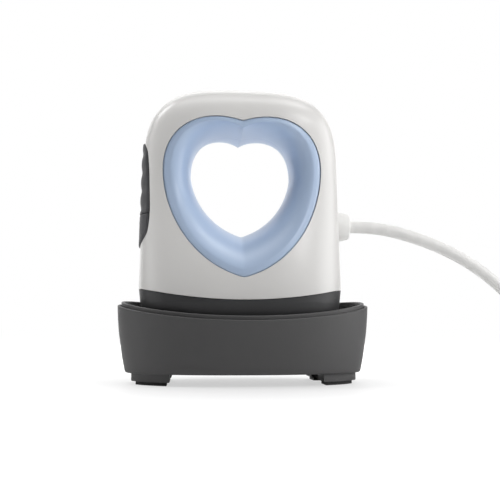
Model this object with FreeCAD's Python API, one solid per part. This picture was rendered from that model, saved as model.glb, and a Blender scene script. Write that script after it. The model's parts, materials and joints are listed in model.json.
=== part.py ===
import FreeCAD, Part
import math
import os

from FreeCAD import Vector

# Mini handheld heat press standing in its cradle.
# Millimetres. Z is up, X runs along the press (the cord leaves at +X), the front faces -Y.
# The origin lies on the table, below the middle of the cradle.

# ---------------------------------------------------------------- driving dimensions

# handle: the white shells and the two heart-shaped bezels
handle_half_length = 57.0
handle_half_depth = 35.0
handle_top = 166.6
handle_datum = 45.0
handle_length_draft = 0.0205
handle_grip_half_depth = 23.0
handle_waist_height = 112.0
handle_base_exponent = 2.8
handle_grip_exponent = 3.2
shoulder_start = 118.0
shoulder_exponent = 3.1
crown_start = 142.0
crown_exponent = 2.3
shell_wall = 2.4
shell_gap = 0.35

# parting line between the white shells and the dark skirt: an arc that dips in the middle
parting_low = 44.6
parting_rise = 6.8
parting_gap = 0.3

# heart outlines, given as (x, z) corners and handles of their right half
throat_top = 137.6
throat_bottom = 82.0
throat_half_width = 28.2
throat_widest = 115.9
rim_top = 143.7
rim_bottom = 56.8
rim_half_width = 43.5
rim_widest = 117.3
bezel_land = 4.0
bezel_wall = 2.0
bezel_roll_power = 2.3
front_roll_share = 0.7
back_roll_share = 0.5
flare_samples = 14
flare_shares = (0.0, 0.02, 0.09, 0.22, 0.42, 0.68, 0.92, 1.2)

# skirt and hot plate
skirt_bottom = 25.0
skirt_draft = 0.13
skirt_wall = 2.6
skirt_deck_top = 40.5
skirt_deck_thickness = 2.5
skirt_lip_height = 4.0
skirt_lip_gap = 0.15
skirt_lip_wall = 1.6
lead_slot_x = 26.0
lead_slot_size = 8.0
plate_gap = 1.0
plate_bottom = 20.5
plate_thickness = 8.0
plate_edge_round = 1.2
plate_boss_floor = 2.5
element_diameter = 6.5
element_spacing = 28.0
element_half_run = 27.0
element_tail_run = 5.0
element_tail_rise = 1.0
element_groove_gap = 0.05
insulator_length = 2.5
terminal_pin_diameter = 2.0
terminal_pin_gap = 0.3
insulation_thickness = 2.5
shield_thickness = 0.8
stack_gap = 0.1
spacer_diameter = 7.0
sensor_window_diameter = 9.0
thermistor_diameter = 3.4
thermistor_height = 2.4
thermal_fuse_x = -10.5
thermal_fuse_length = 11.0
thermal_fuse_diameter = 4.0
thermal_fuse_lead = 4.0
clip_width = 4.0
clip_thickness = 0.6
clip_foot = 2.5

# fasteners
plate_screw_diameter = 3.0
plate_screw_x = 40.0
plate_screw_y = 14.0
shell_screw_diameter = 2.6
shell_screw_length = 22.0
shell_boss_diameter = 7.0
lower_boss_x = 47.0
lower_boss_z = 62.0
upper_boss_x = 42.5
upper_boss_z = 143.0
clearance_on_screws = 0.2
screw_head_height = 1.6
screw_thread_bite = 0.4
plate_screw_grip = 5.0
board_screw_diameter = 1.8
board_screw_head = 4.2
board_screw_grip = 3.0

# grip pad and mode button on the left end
pad_top = 135.0
pad_split = 93.0
pad_bottom = 75.0
pad_half_depth = 12.2
pad_taper = 0.09
pad_end_length = 9.0
pad_proud = 0.9
pad_gap = 0.2
pad_foot_depth = 1.6
button_gap = 0.35
button_travel = 0.9
ripple_start = 3.4
ripple_pitch = 10.4
ripple_depth = 0.55
lens_length = 7.0
lens_height = 1.8
lens_lift = 5.0
lens_thickness = 1.0
switch_size = 6.0
switch_thickness = 3.4
switch_plunger_diameter = 3.4
switch_plunger_length = 1.6
switch_plunger_gap = 0.1
switch_base_thickness = 1.0
switch_board_half_width = 9.0
switch_board_margin = 2.0
led_size = 1.6
led_height = 1.0
led_spacing = 4.5
button_stem_diameter = 6.0
button_stem_length = 3.0

# strain relief and cord
relief_height = 88.4
relief_root_diameter = 17.4
relief_end_diameter = 14.4
relief_reach = 62.75
relief_neck_diameter = 12.0
relief_flange_thickness = 2.5
relief_round = 1.2
relief_seat_depth = 0.8
relief_flange_gap = 0.9
cord_diameter = 7.0
cord_inner_end = 40.0
core_spacing = 2.4
clamp_start_x = 41.0
clamp_length = 5.0
clamp_half_width = 9.5
clamp_thickness = 2.8
clamp_block_inner_y = 4.6
clamp_block_height = 9.0
clamp_screw_y = 7.0
clamp_screw_diameter = 2.0
clamp_screw_grip = 6.0

# cradle
press_offset_x = -1.85
cradle_rim_half_length = 70.3
cradle_rim_half_depth = 44.0
cradle_floor_half_length = 65.6
cradle_floor_half_depth = 40.5
cradle_plan_exponent = 2.2
cradle_side_bulge = 1.0
cradle_floor = 6.0
cradle_wall = 1.6
cradle_base_thickness = 2.4
cradle_floor_round = 1.0
cradle_rim_middle = 37.7
cradle_rim_rise = 5.5
cradle_rim_slope = 0.085
tray_step = 2.1
tray_gap = 0.5
tray_wall = 2.0
tray_floor_top = 13.0
tray_post_foot = 11.0
tray_post_top = 9.5
tray_screw_boss = 6.5
rest_x = 36.0
rest_y = 17.0
rest_pad_thickness = 1.6
rest_pad_diameter = 8.0
rib_y = 13.0
rib_top = 30.0
rib_thickness = 2.0
locating_clearance = 2.8
cradle_screw_x = 30.0
cradle_screw_y = 26.0
cradle_screw_diameter = 3.0
cradle_screw_head = 1.5
foot_inner_x = 40.4
foot_outer_x = 60.5
foot_inner_y = 11.0
foot_block_bottom = 1.8
foot_step = 2.2
foot_pad_inset = 1.6
foot_pad_sink = 0.8

# control board inside the skirt
board_half_length = 36.0
board_half_depth = 21.0
board_thickness = 1.6
board_lift = 4.0
board_post_diameter = 5.0
board_post_inset = 4.0
capacitor_place = (-6.0, -18.0)
capacitor_length = 20.0
capacitor_width = 8.0
capacitor_height = 13.0
capacitor_round = 1.2
triac_place = (-26.0, 8.0)
triac_width = 10.0
triac_depth = 4.4
triac_body_height = 9.0
triac_tab_height = 15.0
triac_tab_thickness = 1.3
triac_hole_diameter = 3.6
triac_leg_height = 3.0
triac_leg_width = 0.9
triac_leg_pitch = 2.55
heat_sink_width = 16.0
heat_sink_height = 20.0
heat_sink_wing = 6.3
heat_sink_thickness = 1.5
fuse_place = (6.0, 14.0)
fuse_length = 20.0
fuse_glass_diameter = 5.0
fuse_cap_length = 3.5
fuse_axis_lift = 3.2
varistor_place = (21.0, -14.0)
varistor_diameter = 10.0
varistor_thickness = 3.4
varistor_lift = 7.0
chip_place = (-8.0, 0.0)
chip_length = 10.0
chip_width = 4.0
chip_height = 1.6
chip_lift = 0.4
chip_pins_per_side = 8
chip_pin_pitch = 1.27
chip_pin_width = 0.4
chip_pin_reach = 3.1
terminal_place = (14.0, -3.0)
terminal_length = 16.0
terminal_depth = 8.0
terminal_height = 9.0
terminal_way_count = 3
terminal_mouth_size = 3.4
terminal_mouth_depth = 2.0
terminal_well_depth = 3.0
mains_lead_diameter = 1.8
heater_lead_diameter = 1.6
switch_lead_diameter = 1.2

# free cord: points it passes, from the gland to the coil and from the coil to the plug
cord_route = [
    (relief_reach + press_offset_x, 0, relief_height),
    (75, 0, relief_height),
    (92, 0, 85.2),
    (113, 0.8, 78.4),
    (131, 2.6, 70.0),
    (148, 5.6, 59.2),
    (163, 9.6, 46.4),
    (177, 14.0, 33.0),
    (191, 18.0, 22.4),
    (207, 20.0, 17.5),
]
tail_route = [
    (179.0, 10.2, 10.5),
    (188.0, 19.0, 8.6),
    (200.2, 26.6, 7.6),
    (214.0, 31.6, 9.0),
    (228.5, 33.6, 12.5),
]

# coil of spare cord on the table, its strap, and the plug
coil_centre_x = 207.0
coil_centre_y = -23.5
coil_inner_radius = 33.0
coil_turn_gap = 7.0
coil_height = 21.0
coil_round = 3.0
strap_width = 10.0
strap_thickness = 1.2
plug_start_x = 228.0
plug_middle_y = 33.6
plug_middle_z = 12.5
plug_sleeve_length = 18.0
plug_sleeve_diameter = 13.0
plug_length = 36.0
plug_width = 25.0
plug_height = 23.0
plug_exponent = 3.2
plug_stations = ((0, 0.62), (0.35, 0.88), (1, 1))
blade_length = 17.0
blade_width = 6.4
blade_thickness = 1.5
blade_spacing = 12.7
earth_pin_diameter = 4.8
earth_pin_length = 20.0

section_points = 20


# ---------------------------------------------------------------- small helpers


def box(low, high):
    size = [b - a for a, b in zip(low, high)]
    return Part.makeBox(size[0], size[1], size[2], Vector(*low))


def rod(start, end, diameter):
    a = Vector(*start)
    b = Vector(*end)
    return Part.makeCylinder(diameter / 2, (b - a).Length, a, b - a)


def cone(start, end, start_diameter, end_diameter):
    a = Vector(*start)
    b = Vector(*end)
    return Part.makeCone(start_diameter / 2, end_diameter / 2, (b - a).Length, a, b - a)


def join(shapes):
    first, rest = shapes[0], shapes[1:]
    return first.multiFuse(rest).removeSplitter() if rest else first


def group(shapes):
    solids = [solid for shape in shapes for solid in shape.Solids]
    return Part.makeCompound(solids)


def superellipse_points(half_x, half_y, exponent, z):
    power = 2.0 / exponent
    points = []
    for i in range(section_points):
        angle = 2 * math.pi * i / section_points
        c = math.cos(angle)
        s = math.sin(angle)
        x = half_x * math.copysign(abs(c) ** power, c)
        y = half_y * math.copysign(abs(s) ** power, s)
        points.append(Vector(x, y, z))
    return points


def superellipse_wire(half_x, half_y, exponent, z):
    curve = Part.BSplineCurve()
    curve.interpolate(superellipse_points(half_x, half_y, exponent, z), PeriodicFlag=True)
    return Part.Wire([curve.toShape()])


def superellipse_loft(sections, ruled=False):
    wires = [superellipse_wire(*section) for section in sections]
    return Part.makeLoft(wires, True, ruled or len(wires) == 2)


def bezier_point(corners, t):
    u = 1 - t
    weights = (u**3, 3 * u * u * t, 3 * u * t * t, t**3)
    x = sum(w * c[0] for w, c in zip(weights, corners))
    z = sum(w * c[1] for w, c in zip(weights, corners))
    return x, z


# ---------------------------------------------------------------- form of the handle


def smooth_step(t):
    t = min(max(t, 0.0), 1.0)
    return t * t * (3 - 2 * t)


def handle_length_at(z, inset=0.0):
    """Half length of the handle at height z, drawn in by inset on every side."""
    line = handle_half_length - handle_length_draft * (z - handle_datum)
    if z <= shoulder_start:
        return line - inset
    rise = (z - shoulder_start) / (handle_top - inset - shoulder_start)
    return (line - inset) * max(1 - rise**shoulder_exponent, 0.0) ** (1 / shoulder_exponent)


def handle_depth_at(z, inset=0.0):
    """Half depth of the handle at height z: deep at the base, slim at the waist, round at the crown."""
    flare = 1 - smooth_step((z - handle_datum) / (handle_waist_height - handle_datum))
    line = handle_grip_half_depth + (handle_half_depth - handle_grip_half_depth) * flare
    if z <= crown_start:
        return line - inset
    rise = (z - crown_start) / (handle_top - inset - crown_start)
    return (line - inset) * max(1 - rise**crown_exponent, 0.0) ** (1 / crown_exponent)


def plan_exponent_at(z):
    """Squareness of the handle's plan: rounder at the base, flatter faces where the hand goes through."""
    share = smooth_step((z - handle_datum) / (handle_waist_height - handle_datum))
    return handle_base_exponent + (handle_grip_exponent - handle_base_exponent) * share


def skin_depth(x, z):
    """Distance of the handle's front skin from its middle plane, at a point of the front view."""
    share = min(abs(x) / handle_length_at(z), 1.0)
    exponent = plan_exponent_at(z)
    return handle_depth_at(z) * (1 - share**exponent) ** (1 / exponent)


def handle_heights(inset):
    """Section heights: even up to the shoulder, closer and closer towards the crown."""
    low = parting_low - 2 * skirt_lip_height
    steps_up = 6
    heights = [low + (shoulder_start - low) * i / steps_up for i in range(steps_up)]
    crown = handle_top - inset - shoulder_start
    crown_steps = 10
    last_angle = math.radians(88)
    for i in range(crown_steps):
        angle = last_angle * i / (crown_steps - 1)
        heights.append(shoulder_start + crown * math.sin(angle))
    return heights


def handle_solid(inset=0.0):
    sections = []
    for z in handle_heights(inset):
        half_x = handle_length_at(z, inset)
        half_y = handle_depth_at(z, inset)
        sections.append((half_x, half_y, plan_exponent_at(z), z))
    return superellipse_loft(sections)


# ---------------------------------------------------------------- heart-shaped openings


def throat_point(t):
    """Right half of the hand hole's outline, from its top cusp (t = 0) to its bottom cusp (t = 2)."""
    if t <= 1:
        corners = ((0, throat_top), (6.2, throat_top + 2.7),
                   (throat_half_width, throat_widest + 25.3), (throat_half_width, throat_widest))
        return bezier_point(corners, t)
    corners = ((throat_half_width, throat_widest), (throat_half_width, throat_widest - 2.0),
               (24.3, throat_bottom + 8.0), (0, throat_bottom))
    return bezier_point(corners, t - 1)


def rim_point(t):
    """Right half of the bezel's outline on the handle's skin, from top cusp to bottom cusp."""
    if t <= 1:
        corners = ((0, rim_top), (20.7, rim_top + 7.2),
                   (rim_half_width, rim_widest + 25.5), (rim_half_width, rim_widest))
        return bezier_point(corners, t)
    corners = ((rim_half_width, rim_widest), (rim_half_width, rim_widest - 18.3),
               (27.7, rim_bottom + 5.3), (0, rim_bottom))
    return bezier_point(corners, t - 1)


def roll_depth(share, roll_share):
    """Depth of the roll, as a part of the skin's depth, at a share of the way from throat to rim."""
    def rise(s):
        return (1 - (1 - roll_share * s) ** bezel_roll_power) ** (1 / bezel_roll_power)
    return rise(share) / rise(1.0)


def flare_row(share, start_offset, rim_offset, roll_share):
    """Points of a flared heart surface at one share of its width, from top cusp to bottom cusp."""
    row = []
    for i in range(flare_samples + 1):
        t = 2.0 * i / flare_samples
        x0, z0 = throat_point(t)
        x1, z1 = rim_point(t)
        width = math.hypot(x1 - x0, z1 - z0)
        start = start_offset / width
        end = 1 + rim_offset / width
        place = start + (end - start) * share
        x = max(x0 + (x1 - x0) * place, 0.0)
        z = z0 + (z1 - z0) * place
        row.append(Vector(x, -skin_depth(x, z) * roll_depth(share, roll_share), z))
    return row


def flare_solid(start_offset, rim_offset, roll_share):
    """Closed trumpet on a heart plan that opens from the middle plane and rolls out over the skin."""
    front = -(handle_half_depth + 14.0)
    rows = [flare_row(share, start_offset, rim_offset, roll_share) for share in flare_shares]
    surface = Part.BSplineSurface()
    surface.interpolate(rows)
    right = surface.toShape()
    u_first, u_last, v_first, v_last = surface.bounds()
    near_edge = surface.uIso(u_first).toShape()
    lip_edge = surface.uIso(u_last).toShape()
    far = Part.BSplineCurve()
    far.interpolate([Vector(p.x, front, p.z) for p in rows[-1]])
    far_edge = far.toShape()
    flank = Part.makeRuledSurface(lip_edge, far_edge)
    mirrored = [face.mirror(Vector(0, 0, 0), Vector(1, 0, 0)) for face in (right, flank)]
    ends = []
    for edge in (near_edge, far_edge):
        other = edge.mirror(Vector(0, 0, 0), Vector(1, 0, 0))
        ends.append(Part.Face(Part.Wire([edge, other])))
    skin = Part.makeCompound([right, flank] + mirrored + ends)
    skin.sewShape(0.001)
    solid = Part.Solid(Part.Shell(skin.Faces))
    if solid.Volume < 0:
        solid.reverse()
    return solid


# ---------------------------------------------------------------- shared cutters


def above_parting(lift=0.0):
    """Block above the parting line's arc, which runs straight from front to back."""
    radius = (handle_half_length**2 + parting_rise**2) / (2 * parting_rise)
    low = parting_low + lift
    reach = handle_half_length + 20
    side_rise = radius - math.sqrt(radius**2 - reach**2)
    depth = handle_half_depth + 20
    left = Vector(-reach, -depth, low + side_rise)
    middle = Vector(0, -depth, low)
    right = Vector(reach, -depth, low + side_rise)
    top = handle_top + 20
    corners = [right, Vector(reach, -depth, top), Vector(-reach, -depth, top), left]
    edges = [Part.Arc(left, middle, right).toShape()] + Part.makePolygon(corners).Edges
    return Part.Face(Part.Wire(Part.__sortEdges__(edges))).extrude(Vector(0, 2 * depth, 0))


def half_block(side):
    """Block in front of the middle plane (side -1) or behind it (side 1)."""
    reach = handle_half_length + 40
    depth = handle_half_depth + 40
    low_y, high_y = (-depth, 0) if side < 0 else (0, depth)
    return box((-reach, low_y, -10), (reach, high_y, handle_top + 20))


def to_back(shape):
    return shape.mirror(Vector(0, 0, 0), Vector(0, 1, 0))


def boss_places():
    return [(side * x, z) for x, z in ((lower_boss_x, lower_boss_z), (upper_boss_x, upper_boss_z))
            for side in (-1, 1)]


def pad_prism(grow, low, high):
    """Block along X on the left end with the pad's outline: slightly tapered sides and elliptical ends."""
    top = pad_top + grow
    bottom = pad_bottom - grow
    straight_top = pad_top - pad_end_length
    straight_bottom = pad_bottom + pad_end_length

    def half_depth_at(z):
        return pad_half_depth + grow + pad_taper * (pad_top - z)

    side = []
    steps = 6
    for i in range(steps + 1):
        angle = math.pi / 2 * i / steps
        z = straight_bottom - (straight_bottom - bottom) * math.cos(angle)
        side.append(Vector(0, half_depth_at(z) * math.sin(angle), z))
    middle_z = (straight_top + straight_bottom) / 2
    side.append(Vector(0, half_depth_at(middle_z), middle_z))
    for i in range(steps + 1):
        angle = math.pi / 2 * i / steps
        z = straight_top + (top - straight_top) * math.sin(angle)
        side.append(Vector(0, half_depth_at(z) * math.cos(angle), z))
    curve = Part.BSplineCurve()
    curve.interpolate(side)
    edge = curve.toShape()
    outline = Part.Wire([edge, edge.mirror(Vector(0, 0, 0), Vector(0, 1, 0))])
    outer_x = -(handle_half_length + 10)
    inner_x = -(handle_half_length - 22)
    outline.translate(Vector(outer_x, 0, 0))
    whole = Part.Face(outline).extrude(Vector(inner_x - outer_x, 0, 0))
    reach = half_depth_at(bottom) + 1
    return whole.common(box((outer_x, -reach, low), (inner_x, reach, high)))


# ---------------------------------------------------------------- handle


def shell_half(side, outer, inner, flare_hole):
    """One white clamshell half with its screw bosses, heart opening and openings in its ends."""
    skin = outer.cut(inner).common(half_block(side))
    boss_end = side * handle_half_depth
    bosses = []
    for x, z in boss_places():
        bosses.append(rod((x, 0, z), (x, boss_end, z), shell_boss_diameter).common(outer))
    bosses.append(clamp_block(side).common(outer))
    shell = join([skin] + bosses)
    shell = shell.common(above_parting(parting_gap))
    shell = shell.cut(flare_hole)
    shell = shell.cut(pad_prism(pad_gap, pad_bottom - 1, pad_top + 1))
    beyond = handle_half_length + 20
    neck = relief_neck_diameter + 2 * clearance_on_screws
    shell = shell.cut(rod((handle_half_length - 20, 0, relief_height), (beyond, 0, relief_height), neck))
    seat = relief_root_diameter + 2 * clearance_on_screws
    shell = shell.cut(rod((relief_seat_x(), 0, relief_height), (beyond, 0, relief_height), seat))
    for hole in clamp_screw_holes(clamp_bar_bottom() - clamp_screw_grip - 1, clamp_bar_bottom() + 1,
                                  clamp_screw_diameter):
        shell = shell.cut(hole)
    screw_hole = shell_screw_diameter - screw_thread_bite
    if side > 0:
        screw_hole = shell_screw_diameter + 2 * clearance_on_screws
    for x, z in boss_places():
        if side < 0:
            shell = shell.cut(rod((x, 1, z), (x, -screw_grip(), z), screw_hole))
        else:
            head_bottom = screw_head_seat()
            shell = shell.cut(rod((x, -1, z), (x, boss_end + 1, z), screw_hole))
            bore = 2 * shell_screw_diameter + 2 * clearance_on_screws
            shell = shell.cut(rod((x, head_bottom, z), (x, boss_end + 1, z), bore))
    return shell


def screw_head_seat():
    """Distance behind the middle plane at which the shell screws' heads sit."""
    return shell_screw_length - screw_grip()


def screw_grip():
    return shell_screw_length * 0.55


def bezel_half(outer, flare_back, flare_front):
    return flare_back.cut(flare_front).common(outer)


def shell_screws():
    screws = []
    seat = screw_head_seat()
    for x, z in boss_places():
        shank = rod((x, -screw_grip() + 1, z), (x, seat, z), shell_screw_diameter - screw_thread_bite)
        head = rod((x, seat, z), (x, seat + screw_head_height, z), 2 * shell_screw_diameter)
        screws.append(join([shank, head]))
    return group(screws)


# ---------------------------------------------------------------- grip pad and mode button


def pad_blank(low, high, grow):
    skin = superellipse_loft([
        (handle_length_at(z) + pad_proud, handle_depth_at(z) + pad_proud, plan_exponent_at(z), z)
        for z in (pad_bottom - 5, pad_split, shoulder_start, pad_top - 6, pad_top + 5)])
    back = handle_solid(shell_wall + pad_foot_depth)
    return pad_prism(grow, low, high).common(skin).cut(back)


def grip_pad():
    """Rubber pad with four shallow hollows between its finger ripples."""
    pad = pad_blank(pad_split, pad_top, 0)
    hollow_radius = ((ripple_pitch / 2) ** 2 + ripple_depth**2) / (2 * ripple_depth)
    z = pad_split + ripple_start
    while z < pad_top - ripple_pitch / 2:
        skin_x = -(handle_length_at(z) + pad_proud)
        centre_x = skin_x - hollow_radius + ripple_depth
        pad = pad.cut(rod((centre_x, -30, z), (centre_x, 30, z), 2 * hollow_radius))
        z += ripple_pitch
    return pad


def button_middle():
    return (pad_split + pad_bottom) / 2


def button_stem_end():
    """X of the button's inner face, which bears on the tact switch's plunger."""
    return -(handle_half_length - shell_wall - pad_foot_depth - button_stem_length)


def mode_button():
    """Smooth lower piece of the pad, with a stem that presses the tact switch."""
    button = pad_blank(pad_bottom, pad_split - button_gap, 0)
    stem = rod((-(handle_half_length - shell_wall - 1), 0, button_middle()),
               (button_stem_end(), 0, button_middle()), button_stem_diameter)
    return join([button, stem]).cut(lens_blank())


def lens_blank():
    """Light window, let flush into the button's face above its middle."""
    z = button_middle() + lens_lift
    window = box((-(handle_half_length + 10), -lens_length / 2, z - lens_height / 2),
                 (-(handle_half_length - lens_thickness), lens_length / 2, z + lens_height / 2))
    skin = superellipse_loft([
        (handle_length_at(h) + pad_proud, handle_depth_at(h) + pad_proud, plan_exponent_at(h), h)
        for h in (pad_bottom - 5, pad_split, shoulder_start)])
    return window.common(skin)


def switch_board_face():
    """X of the switch board's outer face, which carries the tact switch."""
    return button_stem_end() + switch_plunger_length + switch_thickness


def tact_switch_body():
    face = switch_board_face()
    z = button_middle()
    half = switch_size / 2
    body = box((face - switch_thickness, -half, z - half), (face, half, z + half))
    bore = switch_plunger_diameter + 2 * switch_plunger_gap
    return body.cut(rod((face - switch_thickness - 1, 0, z), (face - switch_base_thickness, 0, z), bore))


def tact_switch_plunger():
    z = button_middle()
    inner = switch_board_face() - switch_base_thickness - button_travel - switch_plunger_gap
    return rod((button_stem_end(), 0, z), (inner, 0, z), switch_plunger_diameter)


def switch_board():
    face = switch_board_face()
    return box((face, -switch_board_half_width, pad_bottom + switch_board_margin),
               (face + board_thickness, switch_board_half_width, pad_split - switch_board_margin))


def indicator_leds():
    face = switch_board_face()
    z = button_middle() + lens_lift + 1.0
    half = led_size / 2
    lights = []
    for i in (-1, 0, 1):
        y = i * led_spacing
        lights.append(box((face - led_height, y - half, z - half), (face, y + half, z + half)))
    return group(lights)


# ---------------------------------------------------------------- skirt, hot plate and what lies between


def skirt_length_at(z, inset=0.0):
    tip = parting_low + parting_rise
    return handle_length_at(max(z, tip)) - skirt_draft * max(tip - z, 0.0) - inset


def skirt_depth_at(z, inset=0.0):
    return handle_depth_at(max(z, parting_low)) - skirt_draft * max(parting_low - z, 0.0) - inset


def skirt_blank(inset, low, high):
    """Drafted oval in straight bands; their joints stay clear of the parting line's ends and middle."""
    clear = 1.0
    heights = sorted({low, parting_low - clear, parting_low + parting_rise + clear, high})
    sections = [(skirt_length_at(z, inset), skirt_depth_at(z, inset), plan_exponent_at(z), z)
                for z in heights if low <= z <= high]
    return superellipse_loft(sections, ruled=True)


def plate_post_places():
    return [(x, y) for x in (-plate_screw_x, plate_screw_x) for y in (-plate_screw_y, plate_screw_y)]


def lower_skirt():
    """Dark band under the handle: outer wall, deck that carries the board, and a lip inside the shells."""
    top = parting_low + parting_rise + skirt_lip_height
    wall = skirt_blank(0, skirt_bottom, top).cut(skirt_blank(skirt_wall, skirt_bottom - 1, top + 1))
    wall = wall.cut(above_parting())
    lip_outer = shell_wall + skirt_lip_gap
    lip = skirt_blank(lip_outer, skirt_deck_top - 0.5, top)
    lip = lip.cut(skirt_blank(lip_outer + skirt_lip_wall, skirt_deck_top - 1, top + 1))
    lip = lip.cut(above_parting(skirt_lip_height))
    deck_bottom = skirt_deck_top - skirt_deck_thickness
    deck = skirt_blank(skirt_wall - 0.5, deck_bottom, skirt_deck_top)
    posts = []
    for x, y in board_post_places():
        posts.append(rod((x, y, skirt_deck_top - 0.5), (x, y, board_bottom()), board_post_diameter))
    skirt = join([wall, lip, deck] + posts)
    for x, y in plate_post_places():
        hole = plate_screw_diameter + 2 * clearance_on_screws
        skirt = skirt.cut(rod((x, y, deck_bottom - 1), (x, y, skirt_deck_top + 1), hole))
    for x, y in board_post_places():
        skirt = skirt.cut(rod((x, y, skirt_deck_top - 1), (x, y, board_bottom() + 1), board_screw_diameter))
    half = lead_slot_size / 2
    for x in (-lead_slot_x, lead_slot_x):
        skirt = skirt.cut(box((x - half, -half, deck_bottom - 1), (x + half, half, skirt_deck_top + 1)))
    return skirt


def plate_top():
    return plate_bottom + plate_thickness


def plate_blank(inset, low, high):
    """Upright oval that clears the skirt's wall at its lower edge."""
    inset += skirt_wall + plate_gap
    half_x = skirt_length_at(skirt_bottom, inset)
    half_y = skirt_depth_at(skirt_bottom, inset)
    return superellipse_loft([(half_x, half_y, handle_base_exponent, low),
                              (half_x, half_y, handle_base_exponent, high)])


def element_grooves(diameter):
    """U-shaped path of the heater: two straight runs and a half circle, filled as one solid."""
    z = plate_top() - element_diameter / 2
    radius = element_spacing / 2
    runs = [rod((-element_half_run, y, z), (element_half_run, y, z), diameter) for y in (-radius, radius)]
    bend = Part.makeTorus(radius, diameter / 2, Vector(-element_half_run, 0, z), Vector(0, 0, 1))
    bend = bend.common(box((-element_half_run - 40, -40, z - 10), (-element_half_run, 40, z + 10)))
    return join(runs + [bend])


def heat_plate():
    """Cast plate with rounded lower rim, a groove for the heater and four tapped bosses."""
    blank = plate_blank(0, plate_bottom, plate_top())
    rim = [edge for edge in blank.Edges if abs(edge.BoundBox.ZMax - plate_bottom) < 0.01
           and abs(edge.BoundBox.ZMin - plate_bottom) < 0.01]
    plate = blank.makeFillet(plate_edge_round, rim)
    slot_half = element_diameter / 2 + element_groove_gap
    plate = plate.cut(element_grooves(2 * slot_half))
    z = plate_top() - element_diameter / 2
    tail_end = element_half_run + element_tail_run + slot_half
    for y in (-element_spacing / 2, element_spacing / 2):
        plate = plate.cut(box((-element_half_run, y - slot_half, z),
                              (element_half_run, y + slot_half, plate_top() + 1)))
        plate = plate.cut(box((element_half_run, y - slot_half, z - slot_half),
                              (tail_end, y + slot_half, plate_top() + 1)))
    centre = Vector(-element_half_run, 0, z)
    ring = Part.makeCylinder(element_spacing / 2 + slot_half, element_diameter, centre)
    ring = ring.cut(Part.makeCylinder(element_spacing / 2 - slot_half, element_diameter, centre))
    bend_side = box((-element_half_run - 40, -40, z), (-element_half_run, 40, z + element_diameter))
    plate = plate.cut(ring.common(bend_side))
    for x, y in plate_post_places():
        low = plate_bottom + plate_boss_floor
        plate = plate.cut(rod((x, y, low), (x, y, plate_top() + 1), plate_screw_diameter - screw_thread_bite))
    return plate


def element_tail_places():
    return [(element_half_run + element_tail_run, y) for y in (-element_spacing / 2, element_spacing / 2)]


def heating_element():
    """Sheathed tube heater: a U in the plate's groove with both tails turned up."""
    z = plate_top() - element_diameter / 2
    tails = []
    for x, y in element_tail_places():
        tails.append(rod((element_half_run, y, z), (x, y, z), element_diameter))
        tails.append(Part.makeSphere(element_diameter / 2, Vector(x, y, z)))
        tails.append(rod((x, y, z), (x, y, element_tail_top()), element_diameter))
    return join([element_grooves(element_diameter)] + tails)


def element_tail_top():
    return shield_top() + element_tail_rise


def element_insulators():
    """Ceramic beads on the heater's tails, each with its terminal pin."""
    beads = []
    bead_top = element_tail_top() + insulator_length
    pin_top = skirt_deck_top - skirt_deck_thickness - terminal_pin_gap
    for x, y in element_tail_places():
        bead = rod((x, y, element_tail_top()), (x, y, bead_top), element_diameter - 1)
        pin = rod((x, y, bead_top), (x, y, pin_top), terminal_pin_diameter)
        beads.append(join([bead, pin]))
    return group(beads)


def stack_sheet(low, thickness, inset, hole_growth):
    sheet = plate_blank(inset, low, low + thickness)
    for x, y in plate_post_places():
        hole = plate_screw_diameter + 2 * clearance_on_screws
        sheet = sheet.cut(rod((x, y, low - 1), (x, y, low + thickness + 1), hole))
    for x, y in element_tail_places():
        sheet = sheet.cut(rod((x, y, low - 1), (x, y, low + thickness + 1), element_diameter + hole_growth))
    return sheet.cut(rod((0, 0, low - 1), (0, 0, low + thickness + 1), sensor_window_diameter))


def insulation_low():
    return plate_top() + stack_gap


def shield_low():
    return insulation_low() + insulation_thickness + stack_gap


def shield_top():
    return shield_low() + shield_thickness


def ceramic_spacers():
    spacers = []
    high = skirt_deck_top - skirt_deck_thickness
    hole = plate_screw_diameter + 2 * clearance_on_screws
    for x, y in plate_post_places():
        ring = rod((x, y, shield_top()), (x, y, high), spacer_diameter)
        spacers.append(ring.cut(rod((x, y, shield_top() - 1), (x, y, high + 1), hole)))
    return group(spacers)


def plate_screws():
    screws = []
    for x, y in plate_post_places():
        shank = rod((x, y, plate_top() - plate_screw_grip), (x, y, skirt_deck_top),
                    plate_screw_diameter - screw_thread_bite)
        head_top = skirt_deck_top + screw_head_height
        head = rod((x, y, skirt_deck_top), (x, y, head_top), 2 * plate_screw_diameter)
        screws.append(join([shank, head]))
    return group(screws)


def thermistor():
    """Bead in a hole at the middle of the stack, resting on the plate."""
    return rod((0, 0, plate_top()), (0, 0, plate_top() + thermistor_height), thermistor_diameter)


def thermal_fuse():
    """Metal barrel with a lead at each end, lying on the heat shield."""
    z = shield_top() + thermal_fuse_diameter / 2 + 0.1
    start = thermal_fuse_x - thermal_fuse_length / 2
    end = thermal_fuse_x + thermal_fuse_length / 2
    barrel = rod((start, 0, z), (end, 0, z), thermal_fuse_diameter)
    leads = [rod((start - thermal_fuse_lead, 0, z), (start, 0, z), 1.0),
             rod((end, 0, z), (end + thermal_fuse_lead, 0, z), 1.0)]
    return join([barrel] + leads)


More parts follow.
